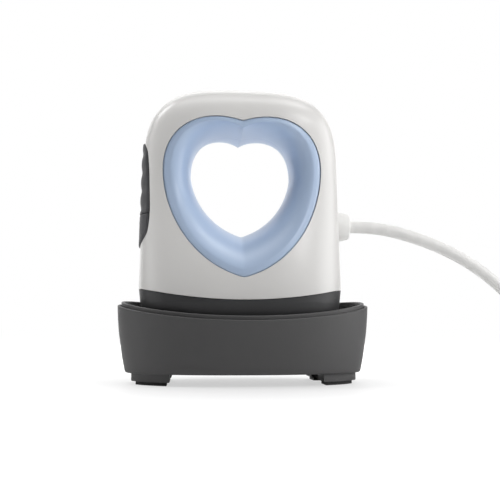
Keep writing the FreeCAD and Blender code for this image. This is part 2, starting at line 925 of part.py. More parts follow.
def sensor_clips():
    """Spring strap over the thermal fuse and bridge beside the thermistor."""
    z = shield_top()
    thin = clip_thickness
    near = thermal_fuse_x - clip_width / 2
    far = thermal_fuse_x + clip_width / 2
    arch_half = thermal_fuse_diameter / 2 + 0.7
    arch_top = z + thermal_fuse_diameter + 0.2
    foot_end = arch_half + thin + clip_foot
    pieces = [box((near, -arch_half, arch_top), (far, arch_half, arch_top + thin))]
    for side in (-1, 1):
        foot = sorted((side * arch_half, side * foot_end))
        leg = sorted((side * arch_half, side * (arch_half + thin)))
        pieces.append(box((near, foot[0], z), (far, foot[1], z + thin)))
        pieces.append(box((near, leg[0], z), (far, leg[1], arch_top + thin)))
    bridge_x = sensor_window_diameter / 2 + 0.5
    bridge = box((bridge_x, -foot_end, z), (bridge_x + clip_width, foot_end, z + thin))
    return group([join(pieces), bridge])


# ---------------------------------------------------------------- control board


def board_bottom():
    return skirt_deck_top + board_lift


def board_top():
    return board_bottom() + board_thickness


def board_post_places():
    x = board_half_length - board_post_inset
    y = board_half_depth - board_post_inset
    return [(side_x * x, side_y * y) for side_x in (-1, 1) for side_y in (-1, 1)]


def control_board():
    board = box((-board_half_length, -board_half_depth, board_bottom()),
                (board_half_length, board_half_depth, board_top()))
    hole = board_screw_diameter + 4 * clearance_on_screws
    for x, y in board_post_places():
        board = board.cut(rod((x, y, board_bottom() - 1), (x, y, board_top() + 1), hole))
    return board


def board_screws():
    screws = []
    for x, y in board_post_places():
        shank = rod((x, y, board_bottom() - board_screw_grip), (x, y, board_top()), board_screw_diameter)
        head = rod((x, y, board_top()), (x, y, board_top() + screw_head_height), board_screw_head)
        screws.append(join([shank, head]))
    return group(screws)


def dropper_capacitor():
    x, y = capacitor_place
    body = box((x, y, board_top()),
               (x + capacitor_length, y + capacitor_width, board_top() + capacitor_height))
    vertical = [e for e in body.Edges if abs(e.BoundBox.ZLength - capacitor_height) < 0.01]
    return body.makeFillet(capacitor_round, vertical)


def triac_hole_height():
    return board_top() + triac_leg_height + triac_tab_height - triac_hole_diameter


def triac():
    """Power package standing on its three legs, with a bolting tab at its back."""
    x, y = triac_place
    low = board_top() + triac_leg_height
    back = y + triac_depth
    body = box((x, y, low), (x + triac_width, back, low + triac_body_height))
    tab = box((x, back, low), (x + triac_width, back + triac_tab_thickness, low + triac_tab_height))
    middle = x + triac_width / 2
    hole = rod((middle, back - 1, triac_hole_height()),
               (middle, back + triac_tab_thickness + 1, triac_hole_height()), triac_hole_diameter)
    legs = []
    for i in (-1, 0, 1):
        leg_x = middle + i * triac_leg_pitch - triac_leg_width / 2
        legs.append(box((leg_x, y + triac_depth / 2, board_top()),
                        (leg_x + triac_leg_width, y + triac_depth / 2 + 0.6, low + 0.5)))
    return join([body, tab.cut(hole)] + legs)


def triac_heat_sink():
    """Folded aluminium fin bolted behind the triac's tab."""
    middle = triac_place[0] + triac_width / 2
    near = middle - heat_sink_width / 2
    face = triac_place[1] + triac_depth + triac_tab_thickness
    low = board_top()
    high = low + heat_sink_height
    thin = heat_sink_thickness
    back = box((near, face, low), (near + heat_sink_width, face + thin, high))
    wings = [box((x, face + thin, low), (x + thin, face + heat_sink_wing, high))
             for x in (near, near + heat_sink_width - thin)]
    bolt_z = triac_hole_height()
    bolt_hole = rod((middle, face - 1, bolt_z), (middle, face + thin + 1, bolt_z), triac_hole_diameter - 0.6)
    return join([back] + wings).cut(bolt_hole)


def board_fuse():
    """Glass fuse between two metal caps, each on its own foot."""
    x, y = fuse_place
    z = board_top() + fuse_axis_lift
    end = x + fuse_length
    glass = rod((x + 1, y, z), (end - 1, y, z), fuse_glass_diameter)
    pieces = [glass]
    for cap_x in (x, end - fuse_cap_length):
        pieces.append(rod((cap_x, y, z), (cap_x + fuse_cap_length, y, z), fuse_glass_diameter + 0.4))
        pieces.append(box((cap_x + 0.8, y - 1, board_top()), (cap_x + fuse_cap_length - 0.7, y + 1, z)))
    return join(pieces)


def varistor():
    """Flat disc standing on two wire legs."""
    x, y = varistor_place
    z = board_top() + varistor_lift
    disc = Part.makeCylinder(varistor_diameter / 2, varistor_thickness, Vector(x, y, z), Vector(1, 0, 0))
    middle = x + varistor_thickness / 2
    legs = [rod((middle, y + side * varistor_diameter / 4, board_top()),
                (middle, y + side * varistor_diameter / 4, z - 3), 0.7) for side in (-1, 1)]
    return join([disc] + legs)


def control_chip():
    """Small outline package with a row of pins along both sides."""
    x, y = chip_place
    low = board_top() + chip_lift
    body = box((x, y - chip_width / 2, low), (x + chip_length, y + chip_width / 2, low + chip_height))
    pins = []
    first = x + (chip_length - chip_pin_pitch * (chip_pins_per_side - 1)) / 2
    for i in range(chip_pins_per_side):
        pin_x = first + chip_pin_pitch * i - chip_pin_width / 2
        pins.append(box((pin_x, y - chip_pin_reach, board_top()),
                        (pin_x + chip_pin_width, y + chip_pin_reach, low + chip_height / 4)))
    return join([body] + pins)


def terminal_ways():
    """X of the middle of each way of the terminal block."""
    pitch = terminal_length / terminal_way_count
    return [terminal_place[0] + pitch * (i + 0.5) for i in range(terminal_way_count)]


def terminal_mouth_height():
    return board_top() + terminal_height * 0.42


def terminal_block():
    """Screw block where the mains leads meet the board."""
    x, y = terminal_place
    z = board_top()
    high = z + terminal_height
    back = y + terminal_depth
    middle = y + terminal_depth / 2
    block = box((x, y, z), (x + terminal_length, back, high))
    half = terminal_mouth_size / 2
    mouth = terminal_mouth_height()
    for way_x in terminal_ways():
        well = rod((way_x, middle, high - terminal_well_depth), (way_x, middle, high + 1),
                   terminal_mouth_size)
        block = block.cut(well)
        block = block.cut(box((way_x - half, back - terminal_mouth_depth, mouth - half),
                              (way_x + half, back + 1, mouth + half)))
    return block


# ---------------------------------------------------------------- leads inside the handle


def lead(points, diameter):
    """Insulated wire: straight runs with a ball at each corner."""
    pieces = []
    for start, end in zip(points, points[1:]):
        pieces.append(rod(start, end, diameter))
    for corner in points[1:-1]:
        pieces.append(Part.makeSphere(diameter / 2, Vector(*corner)))
    return join(pieces)


def mains_leads():
    """Three cores that leave the cord behind its clamp and drop to the board."""
    z = relief_height
    inside = terminal_place[1] + terminal_depth + 0.2
    mouth = terminal_mouth_height()
    wires = []
    for i, x in enumerate(terminal_ways()):
        y = core_spacing * (i - 1)
        fan_x = cord_inner_end - 2.5 * (i + 1)
        corners = [(cord_inner_end - 0.9, y, z), (fan_x, y, z - 6), (fan_x - 3, 9, z - 22),
                   (x, 8.5, board_top() + 12), (x, 7.5, mouth), (x, inside, mouth)]
        wires.append(lead(corners, mains_lead_diameter))
    return group(wires)


def heater_leads():
    """Two sleeved leads from the heater's pins up through the deck's slot to the board's underside."""
    wires = []
    high = skirt_deck_top - skirt_deck_thickness - heater_lead_diameter
    for x, y in element_tail_places():
        side = math.copysign(1, y)
        corners = [(x - 2.0, y, high), (lead_slot_x + 1.5, side * 8, high),
                   (lead_slot_x, side * 2, high), (lead_slot_x, side * 2, board_bottom())]
        wires.append(lead(corners, heater_lead_diameter))
    return group(wires)


def switch_leads():
    """Ribbon of three thin wires from the switch board to the control board."""
    back = switch_board_face() + board_thickness
    end_x = -board_half_length + 3.0
    wires = []
    for i in (-1, 0, 1):
        y = 2.0 * i
        corners = [(back + 0.4, y, pad_bottom + 6), (back + 3, y, pad_bottom + 4),
                   (end_x, y, board_top() + 10), (end_x, y, board_top())]
        wires.append(lead(corners, switch_lead_diameter))
    return group(wires)


def clamp_bar_bottom():
    """The clamp's bar stops just above the shells' blocks, so that its screws grip the cord."""
    return relief_height + cord_diameter / 2 - 0.6


def clamp_block(side):
    """Block moulded inside one shell half that takes one of the clamp's screws."""
    low = clamp_bar_bottom() - clamp_block_height
    ys = sorted((side * clamp_block_inner_y, side * handle_half_depth))
    return box((clamp_start_x, ys[0], low), (clamp_start_x + clamp_length, ys[1], clamp_bar_bottom()))


def clamp_screw_holes(low, high, diameter):
    x = clamp_start_x + clamp_length / 2
    return [rod((x, y, low), (x, y, high), diameter) for y in (-clamp_screw_y, clamp_screw_y)]


# ---------------------------------------------------------------- cord entry


def relief_seat_x():
    """X of the flat seat, sunk in the handle's right end, that the gland rests on."""
    return handle_length_at(relief_height) - relief_seat_depth


def cord_strain_relief():
    """Soft gland: ringed taper outside, neck through the wall, flange inside; the cord runs through it."""
    z = relief_height
    seat = relief_seat_x()
    taper = cone((seat, 0, z), (relief_reach, 0, z), relief_root_diameter, relief_end_diameter)
    end_ring = [e for e in taper.Edges if abs(e.BoundBox.XMin - relief_reach) < 0.01]
    taper = taper.makeFillet(relief_round, end_ring)
    inner_face = handle_length_at(z, shell_wall) - relief_flange_gap
    flange = rod((inner_face - relief_flange_thickness, 0, z), (inner_face, 0, z), relief_root_diameter)
    neck = rod((inner_face - 1, 0, z), (seat + 1, 0, z), relief_neck_diameter)
    gland = join([taper, neck, flange])
    return gland.cut(rod((seat - 20, 0, z), (relief_reach + 1, 0, z), cord_diameter))


def cord_clamp():
    """Bar that pins the cord from above, on a block in each shell half behind the gland."""
    z = relief_height
    low = clamp_bar_bottom()
    high = low + clamp_thickness
    end_x = clamp_start_x + clamp_length
    bar = box((clamp_start_x, -clamp_half_width, low), (end_x, clamp_half_width, high))
    bar = bar.cut(rod((clamp_start_x - 1, 0, z), (end_x + 1, 0, z), cord_diameter))
    for hole in clamp_screw_holes(low - 1, high + 1, clamp_screw_diameter + 2 * clearance_on_screws):
        bar = bar.cut(hole)
    return bar


def clamp_screws():
    seat = clamp_bar_bottom() + clamp_thickness
    low = clamp_bar_bottom() - clamp_screw_grip
    shanks = clamp_screw_holes(low, seat, clamp_screw_diameter)
    heads = clamp_screw_holes(seat, seat + screw_head_height, 2 * clamp_screw_diameter)
    return group([join(pair) for pair in zip(shanks, heads)])


# ---------------------------------------------------------------- cradle


def cradle_front_rim():
    return cradle_rim_middle - cradle_rim_slope * cradle_rim_half_depth


def cradle_length_at(z, inset=0.0):
    share = (z - cradle_floor) / (cradle_rim_middle + cradle_rim_rise - cradle_floor)
    line = cradle_floor_half_length + (cradle_rim_half_length - cradle_floor_half_length) * share
    return line + 4 * cradle_side_bulge * share * (1 - share) - inset


def cradle_depth_at(z, inset=0.0):
    share = (z - cradle_floor) / (cradle_front_rim() - cradle_floor)
    return cradle_floor_half_depth + (cradle_rim_half_depth - cradle_floor_half_depth) * share - inset


def cradle_blank(inset, low, high):
    sections = [(cradle_length_at(z, inset), cradle_depth_at(z, inset), cradle_plan_exponent, z)
                for z in (low, (low + high) / 2, high)]
    return superellipse_loft(sections)


def below_rim(lift):
    """Block below the cradle rim's arc, which dips in the middle and climbs from front to back."""
    radius = (cradle_rim_half_length**2 + cradle_rim_rise**2) / (2 * cradle_rim_rise)
    reach = cradle_rim_half_length + 10
    depth = cradle_rim_half_depth + 20
    low = cradle_rim_middle + lift - cradle_rim_slope * depth
    side_rise = radius - math.sqrt(radius**2 - reach**2)
    bottom = -2 * cradle_rim_slope * depth - 5
    left = Vector(-reach, -depth, low + side_rise)
    middle = Vector(0, -depth, low)
    right = Vector(reach, -depth, low + side_rise)
    corners = [right, Vector(reach, -depth, bottom), Vector(-reach, -depth, bottom), left]
    edges = [Part.Arc(left, middle, right).toShape()] + Part.makePolygon(corners).Edges
    face = Part.Face(Part.Wire(Part.__sortEdges__(edges)))
    return face.extrude(Vector(0, 2 * depth, 2 * depth * cradle_rim_slope))


def cradle_top():
    back_rise = cradle_rim_slope * cradle_rim_half_depth
    return cradle_rim_middle + cradle_rim_rise + back_rise + tray_step + 2


def foot_boxes(inset, low, high):
    places = []
    for side_x in (-1, 1):
        for side_y in (-1, 1):
            xs = sorted((side_x * (foot_inner_x + inset), side_x * (foot_outer_x + 10)))
            ys = sorted((side_y * (foot_inner_y + inset), side_y * (cradle_rim_half_depth + 5)))
            places.append(box((xs[0], ys[0], low), (xs[1], ys[1], high)))
    return places


def foot_blanks(inset, low, high):
    plan = (cradle_floor_half_length - foot_step - inset, cradle_floor_half_depth - foot_step - inset,
            cradle_plan_exponent)
    column = superellipse_loft([(*plan, low), (*plan, high)])
    return [column.common(block) for block in foot_boxes(inset, low - 1, high + 1)]


def cradle_screw_places():
    return [(x, y) for x in (-cradle_screw_x, cradle_screw_x) for y in (-cradle_screw_y, cradle_screw_y)]


def cradle_screw_seat():
    return cradle_floor + cradle_base_thickness / 2


def cradle_shell():
    """Outer dish: tapered oval wall with a swooping rim, flat bottom and four foot blocks."""
    outer = cradle_blank(0, cradle_floor, cradle_top())
    rim = [e for e in outer.Edges if abs(e.BoundBox.ZMax - cradle_floor) < 0.01]
    outer = outer.makeFillet(cradle_floor_round, rim)
    inner = cradle_blank(cradle_wall, cradle_floor + cradle_base_thickness, cradle_top() + 1)
    dish = outer.cut(inner).common(below_rim(0))
    feet = foot_blanks(0, foot_block_bottom, cradle_floor + cradle_base_thickness / 2)
    dish = join([dish] + feet)
    for recess in foot_blanks(foot_pad_inset, foot_block_bottom - 1, foot_block_bottom + foot_pad_sink):
        dish = dish.cut(recess)
    for x, y in cradle_screw_places():
        dish = dish.cut(rod((x, y, 0), (x, y, 20), cradle_screw_diameter + 0.4))
        dish = dish.cut(rod((x, y, 0), (x, y, cradle_screw_seat()), 2 * cradle_screw_diameter + 0.4))
    return dish


def foot_pads():
    return group(foot_blanks(foot_pad_inset + 0.05, 0, foot_block_bottom + foot_pad_sink - 0.02))


def cradle_tray():
    """Inner tray: its rim stands proud of the dish; posts, locating ribs and screw bosses are moulded on."""
    inset = cradle_wall + tray_gap
    floor_low = tray_floor_top - tray_wall
    outer = cradle_blank(inset, floor_low, cradle_top())
    inner = cradle_blank(inset + tray_wall, tray_floor_top, cradle_top() + 1)
    basin = outer.cut(inner)
    extras = []
    for x, y in rest_places():
        extras.append(cone((x, y, tray_floor_top - 0.5), (x, y, rest_seat()), tray_post_foot, tray_post_top))
    for x, y in cradle_screw_places():
        boss_low = cradle_floor + cradle_base_thickness
        extras.append(rod((x, y, boss_low), (x, y, floor_low + 0.5), tray_screw_boss))
    for side in (-1, 1):
        for y in (-rib_y, rib_y):
            near = side * (skirt_length_at(rib_top) + locating_clearance)
            far = side * (cradle_rim_half_length + 5)
            xs = sorted((near, far))
            block = box((xs[0], y - rib_thickness / 2, floor_low + 0.5),
                        (xs[1], y + rib_thickness / 2, rib_top))
            extras.append(block.common(outer))
    tray = join([basin] + extras).common(below_rim(tray_step))
    for x, y in cradle_screw_places():
        hole_top = tray_floor_top - 0.8
        tray = tray.cut(rod((x, y, 0), (x, y, hole_top), cradle_screw_diameter - screw_thread_bite))
    return tray


def rest_places():
    return [(x, y) for x in (-rest_x, rest_x) for y in (-rest_y, rest_y)]


def rest_seat():
    return plate_bottom - rest_pad_thickness


def tray_rest_pads():
    pads = []
    for x, y in rest_places():
        pads.append(rod((x, y, rest_seat()), (x, y, plate_bottom), rest_pad_diameter))
    return group(pads)


def cradle_screws():
    screws = []
    for x, y in cradle_screw_places():
        seat = cradle_screw_seat()
        head = rod((x, y, seat - cradle_screw_head), (x, y, seat), 2 * cradle_screw_diameter)
        shank = rod((x, y, seat), (x, y, tray_floor_top - 1.2), cradle_screw_diameter - screw_thread_bite)
        screws.append(join([head, shank]))
    return group(screws)


# ---------------------------------------------------------------- free cord


def tube_along(points, diameter, first_name):
    """Round tube on straight runs joined by tangent arcs; prints its radii, length and volume check."""
    route = [Vector(*p) for p in points]
    edges = []
    radii = []
    start = route[0]
    for before, corner, after in zip(route, route[1:], route[2:]):
        into = corner - before
        out_of = after - corner
        turn = into.getAngle(out_of)
        trim = 0.45 * min(into.Length, out_of.Length)
        radii.append(trim / math.tan(turn / 2))
        into.normalize()
        out_of.normalize()
        arc_start = corner - into * trim
        arc_end = corner + out_of * trim
        bisector = (out_of - into).normalize()
        centre = corner + bisector * math.hypot(radii[-1], trim)
        middle = centre - bisector * radii[-1]
        edges.append(Part.LineSegment(start, arc_start).toShape())
        edges.append(Part.Arc(arc_start, middle, arc_end).toShape())
        start = arc_end
    edges.append(Part.LineSegment(start, route[-1]).toShape())
    path = Part.Wire(edges)
    circle = Part.Circle(route[0], route[1] - route[0], diameter / 2)
    profile = Part.Wire([circle.toShape()])
    tube = path.makePipeShell([profile], True, False)
    length = sum(edge.Length for edge in edges)
    ratio = tube.Volume / (math.pi * diameter**2 / 4 * length)
    print(first_name, "radii", [round(r) for r in radii], "length", round(length, 1),
          "volume ratio", round(ratio, 4))
    return tube


def cord_inside_end():
    """Sheathed end of the cord from the gland's outer face to where its cores part."""
    return rod((cord_inner_end, 0, relief_height), (relief_reach, 0, relief_height), cord_diameter)


def coil_ring():
    inner = coil_inner_radius
    outer = inner + 2 * coil_turn_gap
    ring = Part.makeCylinder(outer, coil_height, Vector(coil_centre_x, coil_centre_y, 0))
    ring = ring.cut(Part.makeCylinder(inner, coil_height, Vector(coil_centre_x, coil_centre_y, 0)))
    rims = [e for e in ring.Edges if e.Curve.TypeId == "Part::GeomCircle"]
    return ring.makeFillet(coil_round, rims)


def power_cord(coil):
    tube = tube_along(cord_route, cord_diameter, "power_cord")
    return tube.cut(coil)


def cord_tail(coil, plug):
    tube = tube_along(tail_route, cord_diameter, "cord_tail")
    return tube.cut(coil).cut(plug)


def coil_tie(coil):
    """Releasable strap over the coil's turns."""
    outer = coil_inner_radius + 2 * coil_turn_gap
    low = (coil_centre_x + coil_inner_radius - strap_thickness, coil_centre_y - strap_width / 2, 0)
    high = (coil_centre_x + outer + strap_thickness, coil_centre_y + strap_width / 2,
            coil_height + strap_thickness)
    return box(low, high).cut(coil)


def plug_face_x():
    return plug_start_x + plug_sleeve_length + plug_length


def plug_body():
    """Moulded mains plug lying on its side: tapered sleeve, then a grip that widens to a flat nose."""
    y = plug_middle_y
    z = plug_middle_z
    sleeve_end = plug_start_x + plug_sleeve_length
    sleeve = cone((plug_start_x, y, z), (sleeve_end + 1, y, z), cord_diameter + 2, plug_sleeve_diameter)
    pieces = [sleeve]
    for (near, near_scale), (far, far_scale) in zip(plug_stations, plug_stations[1:]):
        wires = []
        for share, scale in ((near, near_scale), (far, far_scale)):
            wire = superellipse_wire(plug_width / 2 * scale, plug_height / 2 * scale, plug_exponent, 0)
            wire.rotate(Vector(0, 0, 0), Vector(1, 1, 1), 120)
            wire.translate(Vector(sleeve_end + plug_length * share, y, z))
            wires.append(wire)
        pieces.append(Part.makeLoft(wires, True, True))
    return join(pieces)


def plug_blades():
    """Two flat blades and a round earth pin with a rounded tip."""
    y = plug_middle_y
    z = plug_middle_z
    face = plug_face_x()
    blades = []
    for side in (-1, 1):
        middle = y + side * blade_spacing / 2
        blades.append(box((face, middle - blade_thickness / 2, z - blade_width),
                          (face + blade_length, middle + blade_thickness / 2, z)))
    pin_z = z + blade_width - 1.0
    pin = rod((face, y, pin_z), (face + earth_pin_length, y, pin_z), earth_pin_diameter)
    tip = [e for e in pin.Edges if abs(e.BoundBox.XMin - face - earth_pin_length) < 0.01]
    return group(blades + [pin.makeFillet(earth_pin_diameter / 3, tip)])


# ---------------------------------------------------------------- the whole assembly


def press_parts():
    """Everything that lifts out of the cradle, about its own middle."""
    outer = handle_solid()
    inner = handle_solid(shell_wall)
    flare_front = flare_solid(0, -bezel_land, front_roll_share)
    flare_back = flare_solid(bezel_wall, 0, back_roll_share)
    flare_hole = flare_solid(bezel_wall + shell_gap, shell_gap, back_roll_share)
    front_bezel = bezel_half(outer, flare_back, flare_front)
    return {
        "front_shell": shell_half(-1, outer, inner, flare_hole),
        "rear_shell": shell_half(1, outer, inner, to_back(flare_hole)),
        "front_heart_bezel": front_bezel,
        "rear_heart_bezel": to_back(front_bezel),
        "shell_screws": shell_screws(),
        "grip_pad": grip_pad(),
        "mode_button": mode_button(),
        "indicator_lens": lens_blank(),
        "switch_board": switch_board(),
        "tact_switch_body": tact_switch_body(),
        "tact_switch_plunger": tact_switch_plunger(),
        "indicator_leds": indicator_leds(),
        "lower_skirt": lower_skirt(),
        "heat_plate": heat_plate(),
        "heating_element": heating_element(),
        "element_insulators": element_insulators(),
        "insulation_pad": stack_sheet(insulation_low(), insulation_thickness, 1.0, 0.6),
        "heat_shield": stack_sheet(shield_low(), shield_thickness, 0.5, 1.0),
        "ceramic_spacers": ceramic_spacers(),
        "plate_screws": plate_screws(),
        "thermistor": thermistor(),
        "thermal_fuse": thermal_fuse(),
        "sensor_clips": sensor_clips(),
        "control_board": control_board(),
        "board_screws": board_screws(),
        "dropper_capacitor": dropper_capacitor(),
        "triac": triac(),
        "triac_heat_sink": triac_heat_sink(),
        "board_fuse": board_fuse(),
        "varistor": varistor(),
        "control_chip": control_chip(),
        "terminal_block": terminal_block(),
        "mains_leads": mains_leads(),
        "heater_leads": heater_leads(),
        "switch_leads": switch_leads(),
        "cord_strain_relief": cord_strain_relief(),
        "cord_inside_end": cord_inside_end(),
        "cord_clamp": cord_clamp(),
        "clamp_screws": clamp_screws(),
    }


def cradle_parts():
    return {
        "cradle_shell": cradle_shell(),
        "cradle_tray": cradle_tray(),
        "tray_rest_pads": tray_rest_pads(),
        "foot_pads": foot_pads(),
        "cradle_screws": cradle_screws(),
    }


def cord_parts():
    coil = coil_ring()
    plug = plug_body()
    return {
        "power_cord": power_cord(coil),
        "cord_coil": coil,
        "coil_tie": coil_tie(coil),
        "cord_tail": cord_tail(coil, plug),
        "plug_body": plug,
        "plug_blades": plug_blades(),
    }


def main():
    os.makedirs("parts", exist_ok=True)
    parts = {}
    for name, shape in press_parts().items():
        shape.translate(Vector(press_offset_x, 0, 0))
        parts[name] = shape
    parts.update(cradle_parts())
    parts.update(cord_parts())
    for name, shape in parts.items():
        shape.exportStep("parts/" + name + ".step")


main()
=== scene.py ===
import json
import math

import bmesh
import bpy
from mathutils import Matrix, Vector

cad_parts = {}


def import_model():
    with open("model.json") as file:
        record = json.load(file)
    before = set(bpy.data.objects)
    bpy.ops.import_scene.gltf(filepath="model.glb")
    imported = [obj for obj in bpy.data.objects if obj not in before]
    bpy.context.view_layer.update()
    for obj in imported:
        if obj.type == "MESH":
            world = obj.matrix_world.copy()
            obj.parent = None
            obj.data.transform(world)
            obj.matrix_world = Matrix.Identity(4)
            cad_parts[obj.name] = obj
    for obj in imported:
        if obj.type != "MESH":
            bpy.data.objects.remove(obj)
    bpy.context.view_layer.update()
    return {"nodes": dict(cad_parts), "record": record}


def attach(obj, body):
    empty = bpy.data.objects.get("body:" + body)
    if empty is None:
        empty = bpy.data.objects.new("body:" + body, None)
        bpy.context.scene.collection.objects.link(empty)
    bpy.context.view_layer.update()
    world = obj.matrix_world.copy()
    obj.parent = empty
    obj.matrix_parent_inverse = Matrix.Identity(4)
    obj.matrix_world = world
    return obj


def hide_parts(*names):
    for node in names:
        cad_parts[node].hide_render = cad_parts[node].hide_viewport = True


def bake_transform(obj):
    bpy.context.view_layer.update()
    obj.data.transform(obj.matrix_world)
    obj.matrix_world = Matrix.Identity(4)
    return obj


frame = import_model()

# Looks of the mini heat press in its cradle. +Z up, the camera looks along +Y.
# The press, the cradle and the coil keep the places that the frame gives them.

MM = 0.001
SAME_POINT = 1e-7
SHARP_ANGLE = 32

# ------------------------ sizes

# the cord, in metres: its hanging run, the middle lines of its coil's turns, and its tail to the plug
CORD_DIAMETER = 0.007
CORD_ROUTE = [
    (0.0609, 0, 0.0884),
    (0.0750, 0, 0.0884),
    (0.0920, 0, 0.0852),
    (0.1130, 0.0008, 0.0784),
    (0.1310, 0.0026, 0.0700),
    (0.1480, 0.0056, 0.0592),
    (0.1630, 0.0096, 0.0464),
    (0.1770, 0.0140, 0.0330),
    (0.1910, 0.0180, 0.0224),
    (0.2070, 0.0200, 0.0175),
]
TAIL_ROUTE = [
    (0.1790, 0.0102, 0.0105),
    (0.1880, 0.0190, 0.0086),
    (0.2002, 0.0266, 0.0076),
    (0.2140, 0.0316, 0.0090),
    (0.2285, 0.0336, 0.0125),
]
COIL_CENTRE = (0.2070, -0.0235)
COIL_OUTER = 0.0435
COIL_INNER = 0.0365
COIL_LAYERS = (0.0035, 0.0105, 0.0175)
# degrees: plain runs between the shifts from one place in the coil to the next, one shift, and the whole way
COIL_RUNS = (300.0, 270.0, 315.0, 270.0, 270.0)
COIL_SHIFT = 45.0
COIL_END = 1746.5

# the rest in millimetres, from the middle of the table below the cradle
PRESS_X = -1.85

# handle
HANDLE_HALF_LENGTH = 57.0
HANDLE_TOP = 166.6
DATUM = 45.0
LENGTH_DRAFT = 0.0205
GRIP_HALF_DEPTH = 23.0
BASE_HALF_DEPTH = 35.0
WAIST_HEIGHT = 112.0
BASE_EXPONENT = 2.8
GRIP_EXPONENT = 3.2
SHOULDER_START = 118.0
SHOULDER_EXPONENT = 3.1
CROWN_START = 142.0
CROWN_EXPONENT = 2.3

# heart bezels: each outline's right half in two curves, (x, z) from the dent over the widest place to the tip
THROAT_CURVES = (((0, 138.3), (7.3, 141.8), (28.5, 142.3), (28.5, 115.9)),
                 ((28.5, 115.9), (28.5, 112.9), (24.9, 89.4), (0, 81.4)))
RIM_CURVES = (((0, 143.7), (20.7, 150.9), (43.5, 142.8), (43.5, 117.3)),
              ((43.5, 117.3), (43.5, 95.6), (29.6, 64.4), (0, 56.8)))
THROAT_ROUNDING = 0.3
RIM_ROUNDING = 0.35
BEZEL_SEAM = ((0.12, 0.02), (0.03, 0.05), (0.0, 0.15))
BEZEL_LAND = 4.0
BEZEL_WALL = 1.1
BEZEL_ROUND = 0.45
BEZEL_GAP = 0.4
BEZEL_LIP = 1.5
BEZEL_LIP_TOP = 1.8
BEZEL_LIP_BOTTOM = 2.6
BEZEL_CROWN = 0.5
CROWN_POWER = 2.2
ROLL_POWER = 2.3
FRONT_ROLL = 0.7
BACK_ROLL = 0.5

# grip pad and button
PAD_TOP = 135.0
PAD_SPLIT = 93.0
PAD_BOTTOM = 75.0
PAD_SPLIT_GAP = 0.35
PAD_CORNER = 0.7
PAD_HALF_DEPTH = 12.0
PAD_TAPER = 0.09
PAD_END = 9.0
PAD_PROUD = 0.9
PAD_ROUND = 0.8
PAD_FOOT = 3.2
PAD_BACK_SHARE = 0.95
RIPPLE_START = 96.4
RIPPLE_PITCH = 10.4
RIPPLE_DEPTH = 0.55
RIPPLE_POWER = 1.6
RIPPLE_END = 3.5
RIPPLE_FADE = 3.0
BUTTON_FOOT = 3.0
STEM_RADIUS = 3.0
STEM_START = -54.5
STEM_END = -50.0
STEM_EDGE = 0.5
LENS_RISE = 5.0
LENS_STRAIGHT = 2.6
LENS_RADIUS = 0.9

# strain relief
RELIEF_HEIGHT = 88.4
RELIEF_START = 54.9
RELIEF_REACH = 62.75
RELIEF_ROOT_RADIUS = 8.6
RELIEF_END_RADIUS = 7.5
RELIEF_ROUND = 1.3
RELIEF_BELLY = 0.22

# cradle
CRADLE_FLOOR = 6.0
FLOOR_HALF_LENGTH = 65.6
FLOOR_HALF_DEPTH = 40.5
RIM_HALF_LENGTH = 70.3
RIM_HALF_DEPTH = 44.0
RIM_MIDDLE = 37.7
RIM_RISE = 5.5
SIDE_BULGE = 1.0
RIM_SLOPE = 0.085
CRADLE_EXPONENT = 2.2
CRADLE_WALL = 1.6
CRADLE_BASE = 2.4
CRADLE_ROUND = 0.5
TRAY_GAP = 0.5
TRAY_WALL = 2.0
TRAY_STEP = 2.1
TRAY_FLOOR = 13.0
TRAY_ROUND = 0.5
TRAY_FILLET = 2.0
FOOT_STEP = 2.2
FOOT_EDGE = 1.0
FOOT_INNER_X = 40.4
FOOT_INNER_Y = 11.0
REST_X = 36.0
REST_Y = 17.0
REST_SEAT = 18.9
RIB_Y = 13.0
RIB_WIDTH = 2.0
RIB_TOP = 30.0
RIB_NEAR = 56.9

# plug and coil tie
PLUG_START = 228.0
PLUG_Y = 33.6
PLUG_Z = 12.5
PLUG_SLEEVE = 18.0
PLUG_LENGTH = 36.0
PLUG_WIDTH = 25.0
PLUG_HEIGHT = 23.0
PLUG_EXPONENT = 3.2
SLEEVE_RADIUS = 4.55
SLEEVE_FLARE = 1.95
SLEEVE_RINGS = 5
SLEEVE_RING_DEPTH = 0.35
BLADE_Y = 6.35
BLADE_LENGTH = 17.1
BLADE_TIP = 1.1
BLADE_HALF_THICKNESS = 0.75
BLADE_WIDTH = 6.4
EARTH_PIN_REACH = 18.4
EARTH_PIN_RADIUS = 2.4
EARTH_PIN_ROUND = 1.6
EARTH_PIN_RISE = 5.4
TIE_CLEARANCE = 0.3
TIE_THICKNESS = 0.9
TIE_HALF_WIDTH = 5.0
TIE_CORNER = 2.4


# ------------------------ helpers: objects and meshes


def new_object(name, data):
    obj = bpy.data.objects.new(name, data)
    bpy.context.scene.collection.objects.link(obj)
    return obj


def mesh_object(name, verts, faces, smooth=True):
    mesh = bpy.data.meshes.new(name)
    mesh.from_pydata([tuple(v) for v in verts], [], faces)
    mesh.validate()
    if smooth:
        mesh.polygons.foreach_set("use_smooth", [True] * len(mesh.polygons))
    return new_object(name, mesh)


def smooth_by_angle(obj, degrees=SHARP_ANGLE):
    """Smooth shading everywhere but across edges that turn more than the angle."""
    mesh = obj.data
    mesh.polygons.foreach_set("use_smooth", [True] * len(mesh.polygons))
    mesh.set_sharp_from_angle(angle=math.radians(degrees))


def smooth_step(t):
    t = min(max(t, 0.0), 1.0)
    return t * t * (3 - 2 * t)


# ------------------------ helpers: materials

# waves per metre and shares of the base value
CLOUD_SCALE = 14.0
CLOUD_SHARE = 0.015
GLOSS_SCALE = 160.0
GLOSS_SHARES = (0.94, 1.08)
SPARK_DEPTH = 0.00002
DUST_SCALE = 220.0
DUST_SHARE = 1.18
RUBBER_GRAIN = 1400.0
LINE_SCALE = 30.0


